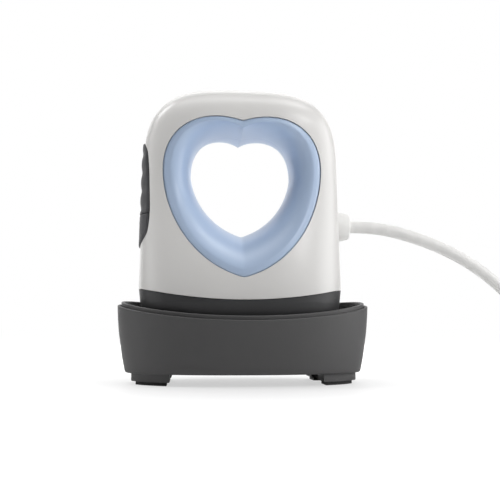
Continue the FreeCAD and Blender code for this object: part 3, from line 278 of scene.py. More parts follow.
class Nodes:
    """A new node material with a Principled shader, and short calls to add nodes to it."""

    def __init__(self, name, color, roughness, **values):
        self.material = bpy.data.materials.new(name)
        self.material.use_nodes = True
        self.tree = self.material.node_tree
        self.shader = self.tree.nodes["Principled BSDF"]
        self.shader.inputs["Base Color"].default_value = (*color, 1)
        self.shader.inputs["Roughness"].default_value = roughness
        for key, value in values.items():
            self.shader.inputs[key.replace("_", " ")].default_value = value

    def node(self, kind, **settings):
        made = self.tree.nodes.new(kind)
        for key, value in settings.items():
            if hasattr(made, key):
                setattr(made, key, value)
            else:
                made.inputs[key.replace("_", " ")].default_value = value
        return made

    def link(self, source, target):
        self.tree.links.new(source, target)

    def place(self):
        """Object-space position, which rides with the piece."""
        return self.node("ShaderNodeTexCoord").outputs["Object"]

    def noise(self, scale, detail=3.0, place=None):
        made = self.node("ShaderNodeTexNoise", Scale=scale, Detail=detail)
        self.link(place or self.place(), made.inputs["Vector"])
        return made.outputs["Fac"]

    def spread(self, factor, low, high, start=0.1, end=0.9):
        """The factor, from start to end, mapped to numbers from low to high."""
        made = self.node("ShaderNodeMapRange", From_Min=start, From_Max=end, To_Min=low, To_Max=high)
        self.link(factor, made.inputs["Value"])
        return made.outputs["Result"]

    def blend(self, factor, low, high):
        """Colour that goes from low to high with the factor."""
        made = self.node("ShaderNodeMix", data_type="RGBA")
        self.link(factor, made.inputs["Factor"])
        made.inputs["A"].default_value = (*low, 1)
        made.inputs["B"].default_value = (*high, 1)
        return made.outputs["Result"]

    def roughen(self, factor, low, high):
        self.link(self.spread(factor, low, high), self.shader.inputs["Roughness"])

    def bump(self, factor, distance, strength=1.0):
        made = self.node("ShaderNodeBump", Distance=distance, Strength=strength)
        self.link(factor, made.inputs["Height"])
        last = self.shader.inputs["Normal"]
        if last.is_linked:
            self.link(last.links[0].from_socket, made.inputs["Normal"])
        self.link(made.outputs["Normal"], last)


def shade(color, factor):
    return tuple(min(c * factor, 1.0) for c in color)


def moulded_plastic(name, color, roughness=0.4, grain=900.0, depth=SPARK_DEPTH, **values):
    """Injection-moulded plastic: fine spark grain, very faint flow clouds and a slightly uneven gloss."""
    made = Nodes(name, color, roughness, **values)
    clouds = made.noise(CLOUD_SCALE, 2.0)
    tone = made.blend(clouds, shade(color, 1 - CLOUD_SHARE), shade(color, 1 + CLOUD_SHARE))
    made.link(tone, made.shader.inputs["Base Color"])
    low, high = GLOSS_SHARES
    made.roughen(made.noise(GLOSS_SCALE), roughness * low, roughness * high)
    made.bump(made.noise(grain, 2.0), depth, 0.6)
    return made.material


def soft_rubber(name, color, roughness=0.65):
    """Elastomer: matt, with a fine skin and faint dust."""
    made = Nodes(name, color, roughness, Sheen_Weight=0.08)
    dust = made.noise(DUST_SCALE, 5.0)
    made.link(made.blend(dust, color, shade(color, DUST_SHARE)), made.shader.inputs["Base Color"])
    made.roughen(made.noise(90.0), roughness * 0.9, min(roughness * 1.15, 1.0))
    made.bump(made.noise(RUBBER_GRAIN, 2.0), SPARK_DEPTH, 0.5)
    return made.material


def metal(name, color, roughness, scale=(40.0, 40.0, 40.0)):
    """Bare metal with fine lines along one way, or an even grain where the scales are alike."""
    made = Nodes(name, color, roughness, Metallic=1.0)
    mapping = made.node("ShaderNodeMapping", Scale=scale)
    made.link(made.place(), mapping.inputs["Vector"])
    lines = made.noise(LINE_SCALE, 4.0, mapping.outputs["Vector"])
    tone = made.blend(lines, shade(color, 0.9), shade(color, 1.08))
    made.link(tone, made.shader.inputs["Base Color"])
    made.roughen(lines, roughness * 0.75, roughness * 1.25)
    made.bump(lines, 0.00001, 0.4)
    return made.material


def pressed_fibre():
    """Mat of pale ceramic fibre."""
    made = Nodes("fibre", (0.80, 0.79, 0.74), 0.95)
    strands = made.noise(500.0, 6.0)
    tone = made.blend(strands, (0.70, 0.68, 0.62), (0.86, 0.85, 0.80))
    made.link(tone, made.shader.inputs["Base Color"])
    made.bump(strands, 0.0002)
    return made.material


def finish_of_slots():
    """One material for each slot of the record."""
    return {
        "handle_white": moulded_plastic("handle_white", (0.76, 0.75, 0.735), 0.32),
        "bezel_blue": moulded_plastic("bezel_blue", (0.455, 0.57, 0.755), 0.32),
        "grip_rubber": soft_rubber("grip_rubber", (0.062, 0.062, 0.066)),
        "button_grey": moulded_plastic("button_grey", (0.075, 0.075, 0.08), 0.5),
        "lens_clear": moulded_plastic("lens_clear", (0.6, 0.62, 0.63), 0.2, Transmission_Weight=0.3),
        "skirt_grey": moulded_plastic("skirt_grey", (0.040, 0.040, 0.042), 0.48, 700.0, 0.00004),
        "cradle_grey": moulded_plastic("cradle_grey", (0.080, 0.079, 0.080), 0.55, 600.0, 0.00005),
        "silicone": soft_rubber("silicone", (0.35, 0.35, 0.36)),
        "foot_rubber": soft_rubber("foot_rubber", (0.018, 0.018, 0.018)),
        "plate_metal": metal("plate_metal", (0.22, 0.22, 0.23), 0.42),
        "element_steel": metal("element_steel", (0.45, 0.43, 0.40), 0.35),
        "ceramic": moulded_plastic("ceramic", (0.82, 0.80, 0.75), 0.6),
        "fibre": pressed_fibre(),
        "sheet_metal": metal("sheet_metal", (0.72, 0.72, 0.74), 0.3, (10.0, 200.0, 10.0)),
        "screw_steel": metal("screw_steel", (0.60, 0.60, 0.62), 0.28),
        "board_green": moulded_plastic("board_green", (0.04, 0.20, 0.09), 0.35),
        "component_black": moulded_plastic("component_black", (0.03, 0.03, 0.03), 0.5),
        "component_yellow": moulded_plastic("component_yellow", (0.72, 0.55, 0.10), 0.4),
        "component_blue": moulded_plastic("component_blue", (0.05, 0.18, 0.50), 0.4),
        "terminal_green": moulded_plastic("terminal_green", (0.08, 0.35, 0.16), 0.45),
        "fuse_glass": moulded_plastic("fuse_glass", (0.8, 0.82, 0.83), 0.1, Transmission_Weight=0.7),
        "led_clear": moulded_plastic("led_clear", (0.85, 0.85, 0.8), 0.15, Transmission_Weight=0.5),
        "plunger_white": moulded_plastic("plunger_white", (0.8, 0.8, 0.8), 0.4),
        "lead_sleeve": soft_rubber("lead_sleeve", (0.45, 0.07, 0.05)),
        "cord_white": soft_rubber("cord_white", (0.80, 0.795, 0.78), 0.5),
        "tie_black": soft_rubber("tie_black", (0.02, 0.02, 0.02), 0.9),
        "blade_brass": metal("blade_brass", (0.70, 0.62, 0.42), 0.25),
    }


def dress_nodes(finishes):
    """Each CAD node gets its slot's material and smooth shading."""
    for part in frame["record"]["subparts"]:
        node = frame["nodes"][part["node"]]
        node.data.materials.clear()
        node.data.materials.append(finishes[part["material_slot"]])
        smooth_by_angle(node)


# ------------------------ form of the handle, in millimetres


def handle_length_at(z):
    line = HANDLE_HALF_LENGTH - LENGTH_DRAFT * (z - DATUM)
    if z <= SHOULDER_START:
        return line
    rise = min((z - SHOULDER_START) / (HANDLE_TOP - SHOULDER_START), 1.0)
    return line * (1 - rise ** SHOULDER_EXPONENT) ** (1 / SHOULDER_EXPONENT)


def handle_depth_at(z):
    flare = 1 - smooth_step((z - DATUM) / (WAIST_HEIGHT - DATUM))
    line = GRIP_HALF_DEPTH + (BASE_HALF_DEPTH - GRIP_HALF_DEPTH) * flare
    if z <= CROWN_START:
        return line
    rise = min((z - CROWN_START) / (HANDLE_TOP - CROWN_START), 1.0)
    return line * (1 - rise ** CROWN_EXPONENT) ** (1 / CROWN_EXPONENT)


def plan_exponent_at(z):
    """How square the handle's plan is: 2 is an ellipse."""
    share = smooth_step((z - DATUM) / (WAIST_HEIGHT - DATUM))
    return BASE_EXPONENT + (GRIP_EXPONENT - BASE_EXPONENT) * share


def skin_depth(x, z):
    """Distance of the handle's front skin from its middle plane."""
    share = min(abs(x) / handle_length_at(z), 1.0)
    exponent = plan_exponent_at(z)
    return handle_depth_at(z) * (1 - share ** exponent) ** (1 / exponent)


def bezier(corners, t):
    u = 1 - t
    weights = (u ** 3, 3 * u * u * t, 3 * u * t * t, t ** 3)
    return (sum(w * c[0] for w, c in zip(weights, corners)),
            sum(w * c[1] for w, c in zip(weights, corners)))


def outline_point(curves, t):
    """Point of a heart outline's right half: t goes from 0 at the dent over 1 to 2 at the tip."""
    upper, lower = curves
    if t <= 1:
        return bezier(upper, t)
    return bezier(lower, t - 1)


def soft_outline(curves, rounding, count):
    """Closed heart outline with both its points rounded off: (x, z) right half down, left half up."""
    probe = 0.01
    reach = 6 * rounding
    right = []
    for i in range(count + 1):
        t = 2.0 * i / count
        x, z = outline_point(curves, t)
        onward = 1 if t < 1 else -1
        speed = abs(outline_point(curves, t + probe * onward)[0] - x) / probe
        soft = rounding * (1 - smooth_step(x / reach))
        if soft > 0:
            z = outline_point(curves, t + onward * (math.hypot(x, soft) - x) / speed)[1]
        right.append((x, z))
    return right + [(-x, z) for x, z in reversed(right[1:-1])]


# ------------------------ helpers: surfaces from rows of points


def grid_faces(rows, columns, wrap_rows, wrap_columns):
    """Quads between neighbouring rows and columns; either way can close on itself."""
    faces = []
    for r in range(rows if wrap_rows else rows - 1):
        below = r * columns
        above = (r + 1) % rows * columns
        for c in range(columns if wrap_columns else columns - 1):
            after = (c + 1) % columns
            faces.append((below + c, below + after, above + after, above + c))
    return faces


def surface(rows, wrap_rows=False, wrap_columns=True, cap_start=False, cap_end=False):
    """Vertices and faces of a sheet through equally long rows; caps close its first and last row."""
    columns = len(rows[0])
    verts = [point for row in rows for point in row]
    faces = grid_faces(len(rows), columns, wrap_rows, wrap_columns)
    if cap_start:
        faces.append(tuple(reversed(range(columns))))
    if cap_end:
        last = (len(rows) - 1) * columns
        faces.append(tuple(range(last, last + columns)))
    return verts, faces


def merge(shapes):
    """One shape of several, each as (vertices, faces)."""
    verts = []
    faces = []
    for shape_verts, shape_faces in shapes:
        start = len(verts)
        verts.extend(shape_verts)
        faces.extend(tuple(start + i for i in face) for face in shape_faces)
    return verts, faces


def put_on_body(obj, body, replaced):
    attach(obj, body)
    if replaced:
        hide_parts(*replaced)


def piece(name, shape, slot, finishes, body, replaced, offset=(0, 0, 0), sharp=SHARP_ANGLE):
    """Millimetre shape set in its place as one object that rides with a body and stands for CAD nodes."""
    verts, faces = shape
    verts = [tuple((v + o) * MM for v, o in zip(vert, offset)) for vert in verts]
    obj = mesh_object(name, verts, faces)
    mesh = obj.data
    bm = bmesh.new()
    bm.from_mesh(mesh)
    bmesh.ops.remove_doubles(bm, verts=bm.verts, dist=SAME_POINT)
    bmesh.ops.recalc_face_normals(bm, faces=bm.faces)
    bm.to_mesh(mesh)
    bm.free()
    smooth_by_angle(obj, sharp)
    mesh.materials.append(finishes[slot])
    put_on_body(obj, body, replaced)
    return obj


def rounded_ring(radius, steps, start_angle, end_angle):
    """(along, across) steps of an arc of the given radius, from one angle to another, in degrees."""
    points = []
    for i in range(steps + 1):
        angle = math.radians(start_angle + (end_angle - start_angle) * i / steps)
        points.append((radius * math.cos(angle), radius * math.sin(angle)))
    return points


def lathe(profile, axis_z, axis_y=0.0, count=64):
    """Solid of revolution about an axis along X from (x, radius) pairs."""
    rows = []
    for x, radius in profile:
        row = []
        for i in range(count):
            angle = 2 * math.pi * i / count
            row.append((x, axis_y + radius * math.cos(angle), axis_z + radius * math.sin(angle)))
        rows.append(row)
    return surface(rows, cap_start=True, cap_end=True)


def lathe_up(profile, x, y, count=48):
    """Solid of revolution about an upright axis from (radius, z) pairs."""
    rows = []
    for radius, z in profile:
        row = []
        for i in range(count):
            angle = 2 * math.pi * i / count
            row.append((x + radius * math.cos(angle), y + radius * math.sin(angle), z))
        rows.append(row)
    return surface(rows, cap_start=True, cap_end=True)


# ------------------------ heart bezels


def roll_depth(share, roll_share):
    """Part of the full depth that a roll has reached at a share of its way from the throat."""
    def rise(part):
        return (1 - (1 - roll_share * part) ** ROLL_POWER) ** (1 / ROLL_POWER)
    return rise(share) / rise(1.0)


def bezel_profile(width):
    """(distance from the throat, part of the skin's depth, sunk below it), seam to gap and back."""
    crest = width - BEZEL_LAND
    seam = [(inset, 0.0, -past) for inset, past in BEZEL_SEAM]
    shares = [(i / 26) ** 1.8 for i in range(1, 26)]
    roll = [(crest * share, roll_depth(share, FRONT_ROLL), 0.0) for share in shares]
    land = [(crest + BEZEL_LAND * share, 1.0, BEZEL_CROWN * share ** CROWN_POWER)
            for share in (0.02, 0.12, 0.25, 0.4, 0.55, 0.7, 0.8)]
    edge = [(width - BEZEL_ROUND + across, 1.0, BEZEL_CROWN * 0.9 + BEZEL_ROUND - along)
            for across, along in rounded_ring(BEZEL_ROUND, 5, 90, 0)]
    lip = [(width, 1.0, BEZEL_LIP_TOP - 0.1), (width + BEZEL_LIP, 1.0, BEZEL_LIP_TOP),
           (width + BEZEL_LIP, 1.0, BEZEL_LIP_BOTTOM), (width - 0.6, 1.0, BEZEL_LIP_BOTTOM + 0.2)]
    back_shares = [1 - i / 14 for i in range(1, 14)]
    back = [(BEZEL_WALL + (width - BEZEL_WALL) * share, roll_depth(share, BACK_ROLL), 0.0)
            for share in back_shares]
    return seam + roll + land + edge + lip + back + [(BEZEL_WALL, 0.0, -0.05)]


def heart_bezel(side):
    """Half of the blue heart: a trumpet from the middle seam over a tight crest to a land on the skin."""
    count = 150
    throat = soft_outline(THROAT_CURVES, THROAT_ROUNDING, count)
    rim = soft_outline(RIM_CURVES, RIM_ROUNDING, count)
    columns = []
    for (x0, z0), (x1, z1) in zip(throat, rim):
        width = math.hypot(x1 - x0, z1 - z0)
        column = []
        for distance, part, sunk in bezel_profile(width):
            share = distance / width
            x = x0 + (x1 - x0) * share
            z = z0 + (z1 - z0) * share
            column.append((x, side * (skin_depth(x, z) * part - sunk), z))
        columns.append(column)
    return surface(list(zip(*columns)), wrap_rows=True)


def grown(outline, distance):
    """Closed outline moved outwards by a distance."""
    moved = []
    for i, (x, z) in enumerate(outline):
        x0, z0 = outline[i - 1]
        x1, z1 = outline[(i + 1) % len(outline)]
        size = math.hypot(x1 - x0, z1 - z0)
        moved.append((x - (z1 - z0) / size * distance, z + (x1 - x0) / size * distance))
    return moved


def skin_value(place):
    """1 on the handle's skin, less inside and more outside."""
    x, y, z = place
    exponent = plan_exponent_at(z)
    return (abs(x) / handle_length_at(z)) ** exponent + (abs(y) / handle_depth_at(z)) ** exponent


def skin_slope(place):
    """Outward direction of the handle's skin at a place near it."""
    step = 0.05
    axes = (Vector((step, 0, 0)), Vector((0, step, 0)), Vector((0, 0, step)))
    return Vector([skin_value(place + axis) - skin_value(place - axis) for axis in axes]).normalized()


def shade_as_skin(mesh):
    """Normals of the true skin wherever the mesh lies on it, so that long thin faces leave no marks."""
    highest = HANDLE_TOP - 1
    near = 0.03
    least_match = 0.95
    normals = []
    for face in mesh.polygons:
        for index in face.vertices:
            place = mesh.vertices[index].co / MM - Vector((PRESS_X, 0, 0))
            normal = Vector((0, 0, 0))
            if place.z < highest and abs(skin_value(place) - 1) < near:
                slope = skin_slope(place)
                if slope.dot(face.normal) > least_match:
                    normal = slope
            normals.append(normal)
    mesh.normals_split_custom_set(normals)


def heart_cutter():
    """Heart-shaped prism through the whole handle, wider than the bezel by the shadow gap."""
    reach = 60
    edge = grown(soft_outline(RIM_CURVES, RIM_ROUNDING, 110), BEZEL_GAP)
    rows = [[((x + PRESS_X) * MM, y * MM, z * MM) for x, z in edge] for y in (-reach, reach)]
    return mesh_object("cutter", *surface(rows, cap_start=True, cap_end=True))


def without(obj, cutter):
    """Mesh of the object with the cutter taken away from it."""
    trim = obj.modifiers.new("trim", "BOOLEAN")
    trim.operation = "DIFFERENCE"
    trim.solver = "EXACT"
    trim.object = cutter
    shaped = obj.evaluated_get(bpy.context.evaluated_depsgraph_get())
    mesh = bpy.data.meshes.new_from_object(shaped)
    obj.modifiers.clear()
    return mesh


def cover(name, node, finishes):
    """Half shell whose heart opening leaves a shadow gap round the bezel."""
    slot = "handle_white"
    obj = new_object(name, frame["nodes"][node].data.copy())
    bm = bmesh.new()
    bm.from_mesh(obj.data)
    bmesh.ops.remove_doubles(bm, verts=bm.verts, dist=10 * SAME_POINT)
    bm.to_mesh(obj.data)
    bm.free()
    cutter = heart_cutter()
    obj.data = without(obj, cutter)
    bpy.data.objects.remove(cutter)
    obj.data.materials.clear()
    obj.data.materials.append(finishes[slot])
    smooth_by_angle(obj)
    shade_as_skin(obj.data)
    put_on_body(obj, "press", [node])


# ------------------------ grip pad and mode button


def on_left_end(y, z, lift):
    """Point of the handle's left end at a depth and height, lifted off the skin by a distance."""
    length = handle_length_at(z)
    depth = handle_depth_at(z)
    exponent = plan_exponent_at(z)
    share = min(abs(y) / depth, 0.999)
    x = length * (1 - share ** exponent) ** (1 / exponent)
    across = (x / length) ** (exponent - 1) / length
    along = math.copysign(share ** (exponent - 1), y) / depth
    size = math.hypot(across, along)
    return (-x - lift * across / size, y + lift * along / size, z)


def pad_half_width(z, low, high, square_low, square_high):
    """Half width of a pad piece at a height: elliptical at the pad's ends, square at the split."""
    width = PAD_HALF_DEPTH + PAD_TAPER * (PAD_TOP - z)
    if not square_high and z > high - PAD_END:
        width *= math.sqrt(max(1 - ((z - high + PAD_END) / PAD_END) ** 2, 0.0))
    if not square_low and z < low + PAD_END:
        width *= math.sqrt(max(1 - ((low + PAD_END - z) / PAD_END) ** 2, 0.0))
    for is_square, gone in ((square_high, high - z), (square_low, z - low)):
        if is_square and gone < PAD_CORNER:
            width -= PAD_CORNER - math.sqrt(max(PAD_CORNER ** 2 - (PAD_CORNER - gone) ** 2, 0.0))
    return width


def cosine_steps(count):
    """Steps from -1 to 1, closer together towards both ends."""
    return [-math.cos(math.pi * i / count) for i in range(count + 1)]


def distance_to_line(y, z, line):
    """Distance of a point from a closed run of straight pieces."""
    nearest = 1e9
    for (y0, z0), (y1, z1) in zip(line, line[1:] + line[:1]):
        along = (y1 - y0, z1 - z0)
        size = along[0] ** 2 + along[1] ** 2
        share = ((y - y0) * along[0] + (z - z0) * along[1]) / size if size else 0.0
        share = min(max(share, 0.0), 1.0)
        nearest = min(nearest, math.hypot(y - y0 - share * along[0], z - z0 - share * along[1]))
    return nearest


def border_of(rows):
    """Points round the edge of a sheet of rows."""
    return ([row[0] for row in rows] + rows[-1][1:-1] + [row[-1] for row in reversed(rows)]
            + list(reversed(rows[0][1:-1])))


def pad_piece(low, high, square_low, square_high, relief, foot):
    """Soft-edged piece of the left end's trim, its back a foot behind its face; relief(z) gives the waves."""
    middle = (low + high) / 2
    half = (high - low) / 2
    right = []
    for step in cosine_steps(48):
        z = middle + half * step
        right.append((pad_half_width(z, low, high, square_low, square_high), z))
    border = right + [(-w, z) for w, z in reversed(right)]

    def lift_at(y, z):
        away = distance_to_line(y, z, border)
        wall = PAD_ROUND - min(away, PAD_ROUND)
        drop = PAD_ROUND - math.sqrt(max(PAD_ROUND ** 2 - wall ** 2, 0.0))
        return PAD_PROUD + relief(z) * smooth_step(away / RIPPLE_FADE) - drop

    least_width = 0.02
    face_rows = []
    for step in cosine_steps(90):
        z = middle + half * step
        width = max(pad_half_width(z, low, high, square_low, square_high), least_width)
        places = [width * across for across in cosine_steps(36)]
        face_rows.append([on_left_end(y, z, lift_at(y, z)) for y in places])
    back_rows = [[(x + foot, y * PAD_BACK_SHARE, z) for x, y, z in row] for row in face_rows]
    sides = surface([border_of(face_rows), border_of(back_rows)])
    return merge([surface(face_rows, wrap_columns=False), sides, surface(back_rows, wrap_columns=False)])


def button_middle():
    return (PAD_BOTTOM + PAD_SPLIT) / 2


def mode_button():
    """Smooth lower piece of the trim, with the stem that presses the switch."""
    cap = pad_piece(PAD_BOTTOM, PAD_SPLIT - PAD_SPLIT_GAP, False, True, no_relief, BUTTON_FOOT)
    stem = [(STEM_START, STEM_RADIUS), (STEM_END - STEM_EDGE, STEM_RADIUS),
            (STEM_END, STEM_RADIUS - STEM_EDGE)]
    return merge([cap, lathe(stem, button_middle(), count=40)])


def indicator_lens():
    """Pill-shaped light window, a hair proud of the button."""
    height = button_middle() + LENS_RISE
    rows = []
    for scale, lift in ((1.0, -0.6), (1.0, 0.0), (0.97, 0.06), (0.9, 0.10), (0.6, 0.13), (0.1, 0.14)):
        narrowing = scale if scale < 0.9 else 1.0
        row = []
        for i in range(48):
            angle = 2 * math.pi * i / 48
            across = math.cos(angle)
            straight = math.copysign(LENS_STRAIGHT, across) if abs(across) > 1e-9 else 0.0
            y = (straight + LENS_RADIUS * across * scale) * narrowing
            z = height + LENS_RADIUS * math.sin(angle) * scale
            row.append(on_left_end(y, z, PAD_PROUD + lift))
        rows.append(row)
    return surface(rows, cap_start=True, cap_end=True)


def ripple_relief(z):
    """Finger waves: four narrow hollows between rounded swells."""
    phase = (z - RIPPLE_START) / RIPPLE_PITCH
    if phase > RIPPLE_END:
        return 0.0
    return -RIPPLE_DEPTH * (0.5 + 0.5 * math.cos(2 * math.pi * phase)) ** RIPPLE_POWER


def no_relief(_):
    """The button's face has no waves."""
    return 0.0


# ------------------------ strain relief


def strain_relief():
    """Soft gland on its seat: a slightly bellied taper with a rounded end and a soft collar for the cord."""
    edge = 0.25
    start = RELIEF_START + edge
    body_end = RELIEF_REACH - RELIEF_ROUND
    bore = CORD_DIAMETER / MM / 2
    root = RELIEF_ROOT_RADIUS
    profile = [(RELIEF_START, bore + 0.1), (RELIEF_START, root - edge), (start, root)]
    steps = 14
    for i in range(1, steps + 1):
        share = i / steps
        taper = (RELIEF_END_RADIUS - root) * share
        belly = RELIEF_BELLY * math.sin(math.pi * share)
        profile.append((start + (body_end - start) * share, root + taper + belly))
    profile += [(body_end + along, RELIEF_END_RADIUS - RELIEF_ROUND + across)
                for along, across in rounded_ring(RELIEF_ROUND, 7, 84, 8)]
    profile += [(RELIEF_REACH - sunk, bore + wider)
                for sunk, wider in ((0.05, 1.1), (0.15, 0.5), (0.45, 0.02))]
    return lathe(profile, RELIEF_HEIGHT, count=96)


# ------------------------ cradle


def cradle_length_at(z):
    share = (z - CRADLE_FLOOR) / (RIM_MIDDLE + RIM_RISE - CRADLE_FLOOR)
    line = FLOOR_HALF_LENGTH + (RIM_HALF_LENGTH - FLOOR_HALF_LENGTH) * share
    return line + 4 * SIDE_BULGE * share * (1 - share)


def cradle_depth_at(z):
    front = RIM_MIDDLE - RIM_SLOPE * RIM_HALF_DEPTH
    share = (z - CRADLE_FLOOR) / (front - CRADLE_FLOOR)
    return FLOOR_HALF_DEPTH + (RIM_HALF_DEPTH - FLOOR_HALF_DEPTH) * share


def rim_height(x, y):
    """Height of the dish's rim: it rises to both ends and to the back."""
    radius = (RIM_HALF_LENGTH ** 2 + RIM_RISE ** 2) / (2 * RIM_RISE)
    return RIM_MIDDLE + radius - math.sqrt(radius ** 2 - x ** 2) + RIM_SLOPE * y


def cradle_point(angle, inset, z):
    power = 2 / CRADLE_EXPONENT
    c = math.cos(angle)
    s = math.sin(angle)
    return ((cradle_length_at(z) - inset) * math.copysign(abs(c) ** power, c),
            (cradle_depth_at(z) - inset) * math.copysign(abs(s) ** power, s), z)


def cradle_column(angle, profile, lift):
    """Points of one upright section; the profile holds (inset, height) or (inset, drop, "rim")."""
    column = []
    for entry in profile:
        if len(entry) == 2:
            column.append(cradle_point(angle, *entry))
            continue
        inset, drop, _ = entry
        z = RIM_MIDDLE
        for _ in range(5):
            x, y, _ = cradle_point(angle, inset, z)
            z = rim_height(x, y) + lift - drop
        column.append(cradle_point(angle, inset, z))
    return column


def dish(profile, lift):
    """Closed bowl of the cradle's plan through one profile all the way round."""
    count = 288
    columns = [cradle_column(2 * math.pi * i / count, profile, lift) for i in range(count)]
    return surface(list(zip(*columns)), cap_start=True, cap_end=True)


def rounded_rim(outer, inner, radius):
    """Rim profile from the outer face over two rounded edges to the inner face."""
    over = [(outer + radius - along, radius - across, "rim")
            for along, across in rounded_ring(radius, 5, 0, 90)]
    down = [(inner - radius + along, radius - across, "rim")
            for along, across in rounded_ring(radius, 5, 90, 0)]
    return over + down


def cradle_shell():
    """Outer dish: rounded foot edge, tapered wall, rounded swooping rim, and four foot blocks."""
    low = CRADLE_FLOOR
    top = low + CRADLE_BASE
    profile = [(8.0, low), (FOOT_EDGE, low)]
    profile += [(FOOT_EDGE - along, low + FOOT_EDGE - across)
                for along, across in rounded_ring(FOOT_EDGE, 5, 90, 0)][1:]
    profile += [(0.0, low + 4), (0.0, low + 8)]
    profile += [(0.0, drop, "rim") for drop in (16.0, 12.0, 8.0, 4.0, 1.5)]
    profile += rounded_rim(0.0, CRADLE_WALL, CRADLE_ROUND)
    profile += [(CRADLE_WALL, 6.0, "rim"), (CRADLE_WALL, 14.0, "rim"), (CRADLE_WALL, top), (12.0, top)]
    return merge([dish(profile, 0.0)] + [foot_block(sx, sy) for sx in (-1, 1) for sy in (-1, 1)])


def foot_block(side_x, side_y):
    """Corner block under the dish: its outer face follows the dish's plan, its edges are softened."""
    half_x = FLOOR_HALF_LENGTH - FOOT_STEP
    half_y = FLOOR_HALF_DEPTH - FOOT_STEP
    power = CRADLE_EXPONENT
    far_x = half_x * (1 - (FOOT_INNER_Y / half_y) ** power) ** (1 / power)
    steps = 20
    plan = [(FOOT_INNER_X, FOOT_INNER_Y)]
    for i in range(steps + 1):
        x = FOOT_INNER_X + (far_x - FOOT_INNER_X) * math.sin(math.pi / 2 * i / steps)
        plan.append((x, half_y * (1 - (x / half_x) ** power) ** (1 / power)))
    middle_x = sum(p[0] for p in plan) / len(plan)
    middle_y = sum(p[1] for p in plan) / len(plan)
    rows = []
    for inset, z in ((0.5, 1.82), (0.12, 1.95), (0.0, 2.3), (0.0, CRADLE_FLOOR + 1.2)):
        row = []
        for x, y in plan:
            share = 1 - inset / math.hypot(x - middle_x, y - middle_y)
            row.append((side_x * (middle_x + (x - middle_x) * share),
                        side_y * (middle_y + (y - middle_y) * share), z))
        rows.append(row)
    return surface(rows, cap_start=True, cap_end=True)


def tray_basin():
    """The tray's rounded basin, a step above the dish's rim."""
    outer = CRADLE_WALL + TRAY_GAP
    inner = outer + TRAY_WALL
    low = TRAY_FLOOR - TRAY_WALL
    profile = [(outer + 6, low), (outer + 0.6, low), (outer, low + 0.6), (outer, low + 6),
               (outer, 14.0, "rim"), (outer, 6.0, "rim")]
    profile += rounded_rim(outer, inner, TRAY_ROUND)
    profile += [(inner, 2.0, "rim"), (inner, 6.0, "rim"), (inner, 12.0, "rim")]
    profile += [(inner + TRAY_FILLET - along, TRAY_FLOOR + TRAY_FILLET - across)
                for along, across in rounded_ring(TRAY_FILLET, 6, 0, 90)]
    profile.append((inner + 9, TRAY_FLOOR))
    return dish(profile, TRAY_STEP)


def rest_post(x, y):
    """Post with a flared foot and a softened seat, on which the press rests."""
    seat = REST_SEAT
    profile = [(6.3, TRAY_FLOOR - 0.4), (6.3, TRAY_FLOOR), (5.6, TRAY_FLOOR + 0.5), (4.95, seat - 0.4),
               (4.75, seat - 0.1), (4.4, seat)]
    return lathe_up(profile, x, y)


def cradle_tray():
    """Inner tray with a rounded rim, four rest posts and four locating ribs."""
    posts = [rest_post(x, y) for x in (-REST_X, REST_X) for y in (-REST_Y, REST_Y)]
    ribs = [locating_rib(side, y) for side in (-1, 1) for y in (-RIB_Y, RIB_Y)]
    return merge([tray_basin()] + posts + ribs)


def locating_rib(side, y):
    """Thin upright rib at an end of the tray, with a rounded nose that centres the press."""
    half = RIB_WIDTH / 2
    edge = 0.5
    high = RIB_TOP
    sections = ((TRAY_FLOOR - 0.4, 0.0), (high - 3.0, 0.0), (high - 1.2, 0.5), (high - 0.3, 1.6), (high, 2.8))
    rows = []
    for z, shorter in sections:
        far = side * (cradle_point(0.0, CRADLE_WALL + TRAY_GAP + TRAY_WALL / 2, z)[0] - 1.2)
        nose = side * (RIB_NEAR + shorter)
        shoulder = nose + side * edge
        rows.append([(far, y - half, z), (shoulder, y - half, z), (nose, y - half + edge, z),
                     (nose, y + half - edge, z), (shoulder, y + half, z), (far, y + half, z)])
    return surface(rows, cap_start=True, cap_end=True)


# ------------------------ plug and coil tie


def superellipse(radius_y, radius_z, exponent, count):
    """(y, z) places round a rounded rectangle."""
    places = []
    power = 2 / exponent
    for i in range(count):
        angle = 2 * math.pi * i / count
        c = math.cos(angle)
        s = math.sin(angle)
        places.append((radius_y * math.copysign(abs(c) ** power, c),
                       radius_z * math.copysign(abs(s) ** power, s)))
    return places


def plug_sleeve():
    """Ribbed sleeve that widens from the cord to the plug's grip."""
    start = PLUG_START + 0.3
    length = PLUG_SLEEVE - 1.0
    steps = 60
    bore = CORD_DIAMETER / MM / 2 + 0.1
    profile = [(PLUG_START, bore), (PLUG_START, SLEEVE_RADIUS - 0.25), (start, SLEEVE_RADIUS)]
    for i in range(1, steps + 1):
        share = i / steps
        wave = SLEEVE_RING_DEPTH * max(-math.cos(2 * math.pi * SLEEVE_RINGS * share), 0.0) ** 3
        profile.append((start + length * share, SLEEVE_RADIUS + SLEEVE_FLARE * share - wave))
    profile.append((PLUG_START + PLUG_SLEEVE + 1.0, 6.2))
    return lathe(profile, PLUG_Z, PLUG_Y)


def plug_body():
    """Moulded plug: the sleeve, then a grip with rounded edges that widens towards the blades."""
    face = PLUG_START + PLUG_SLEEVE
    stations = ((0.0, 0.50), (0.006, 0.55), (0.02, 0.59), (0.05, 0.615), (0.35, 0.862), (0.39, 0.874),
                (0.45, 0.885), (0.955, 0.985), (0.975, 0.975), (0.99, 0.955), (1.0, 0.92))
    rows = []
    for share, scale in stations:
        section = superellipse(PLUG_WIDTH / 2 * scale, PLUG_HEIGHT / 2 * scale, PLUG_EXPONENT, 96)
        rows.append([(face + PLUG_LENGTH * share, PLUG_Y + y, PLUG_Z + z) for y, z in section])
    return merge([plug_sleeve(), surface(rows, cap_start=True, cap_end=True)])


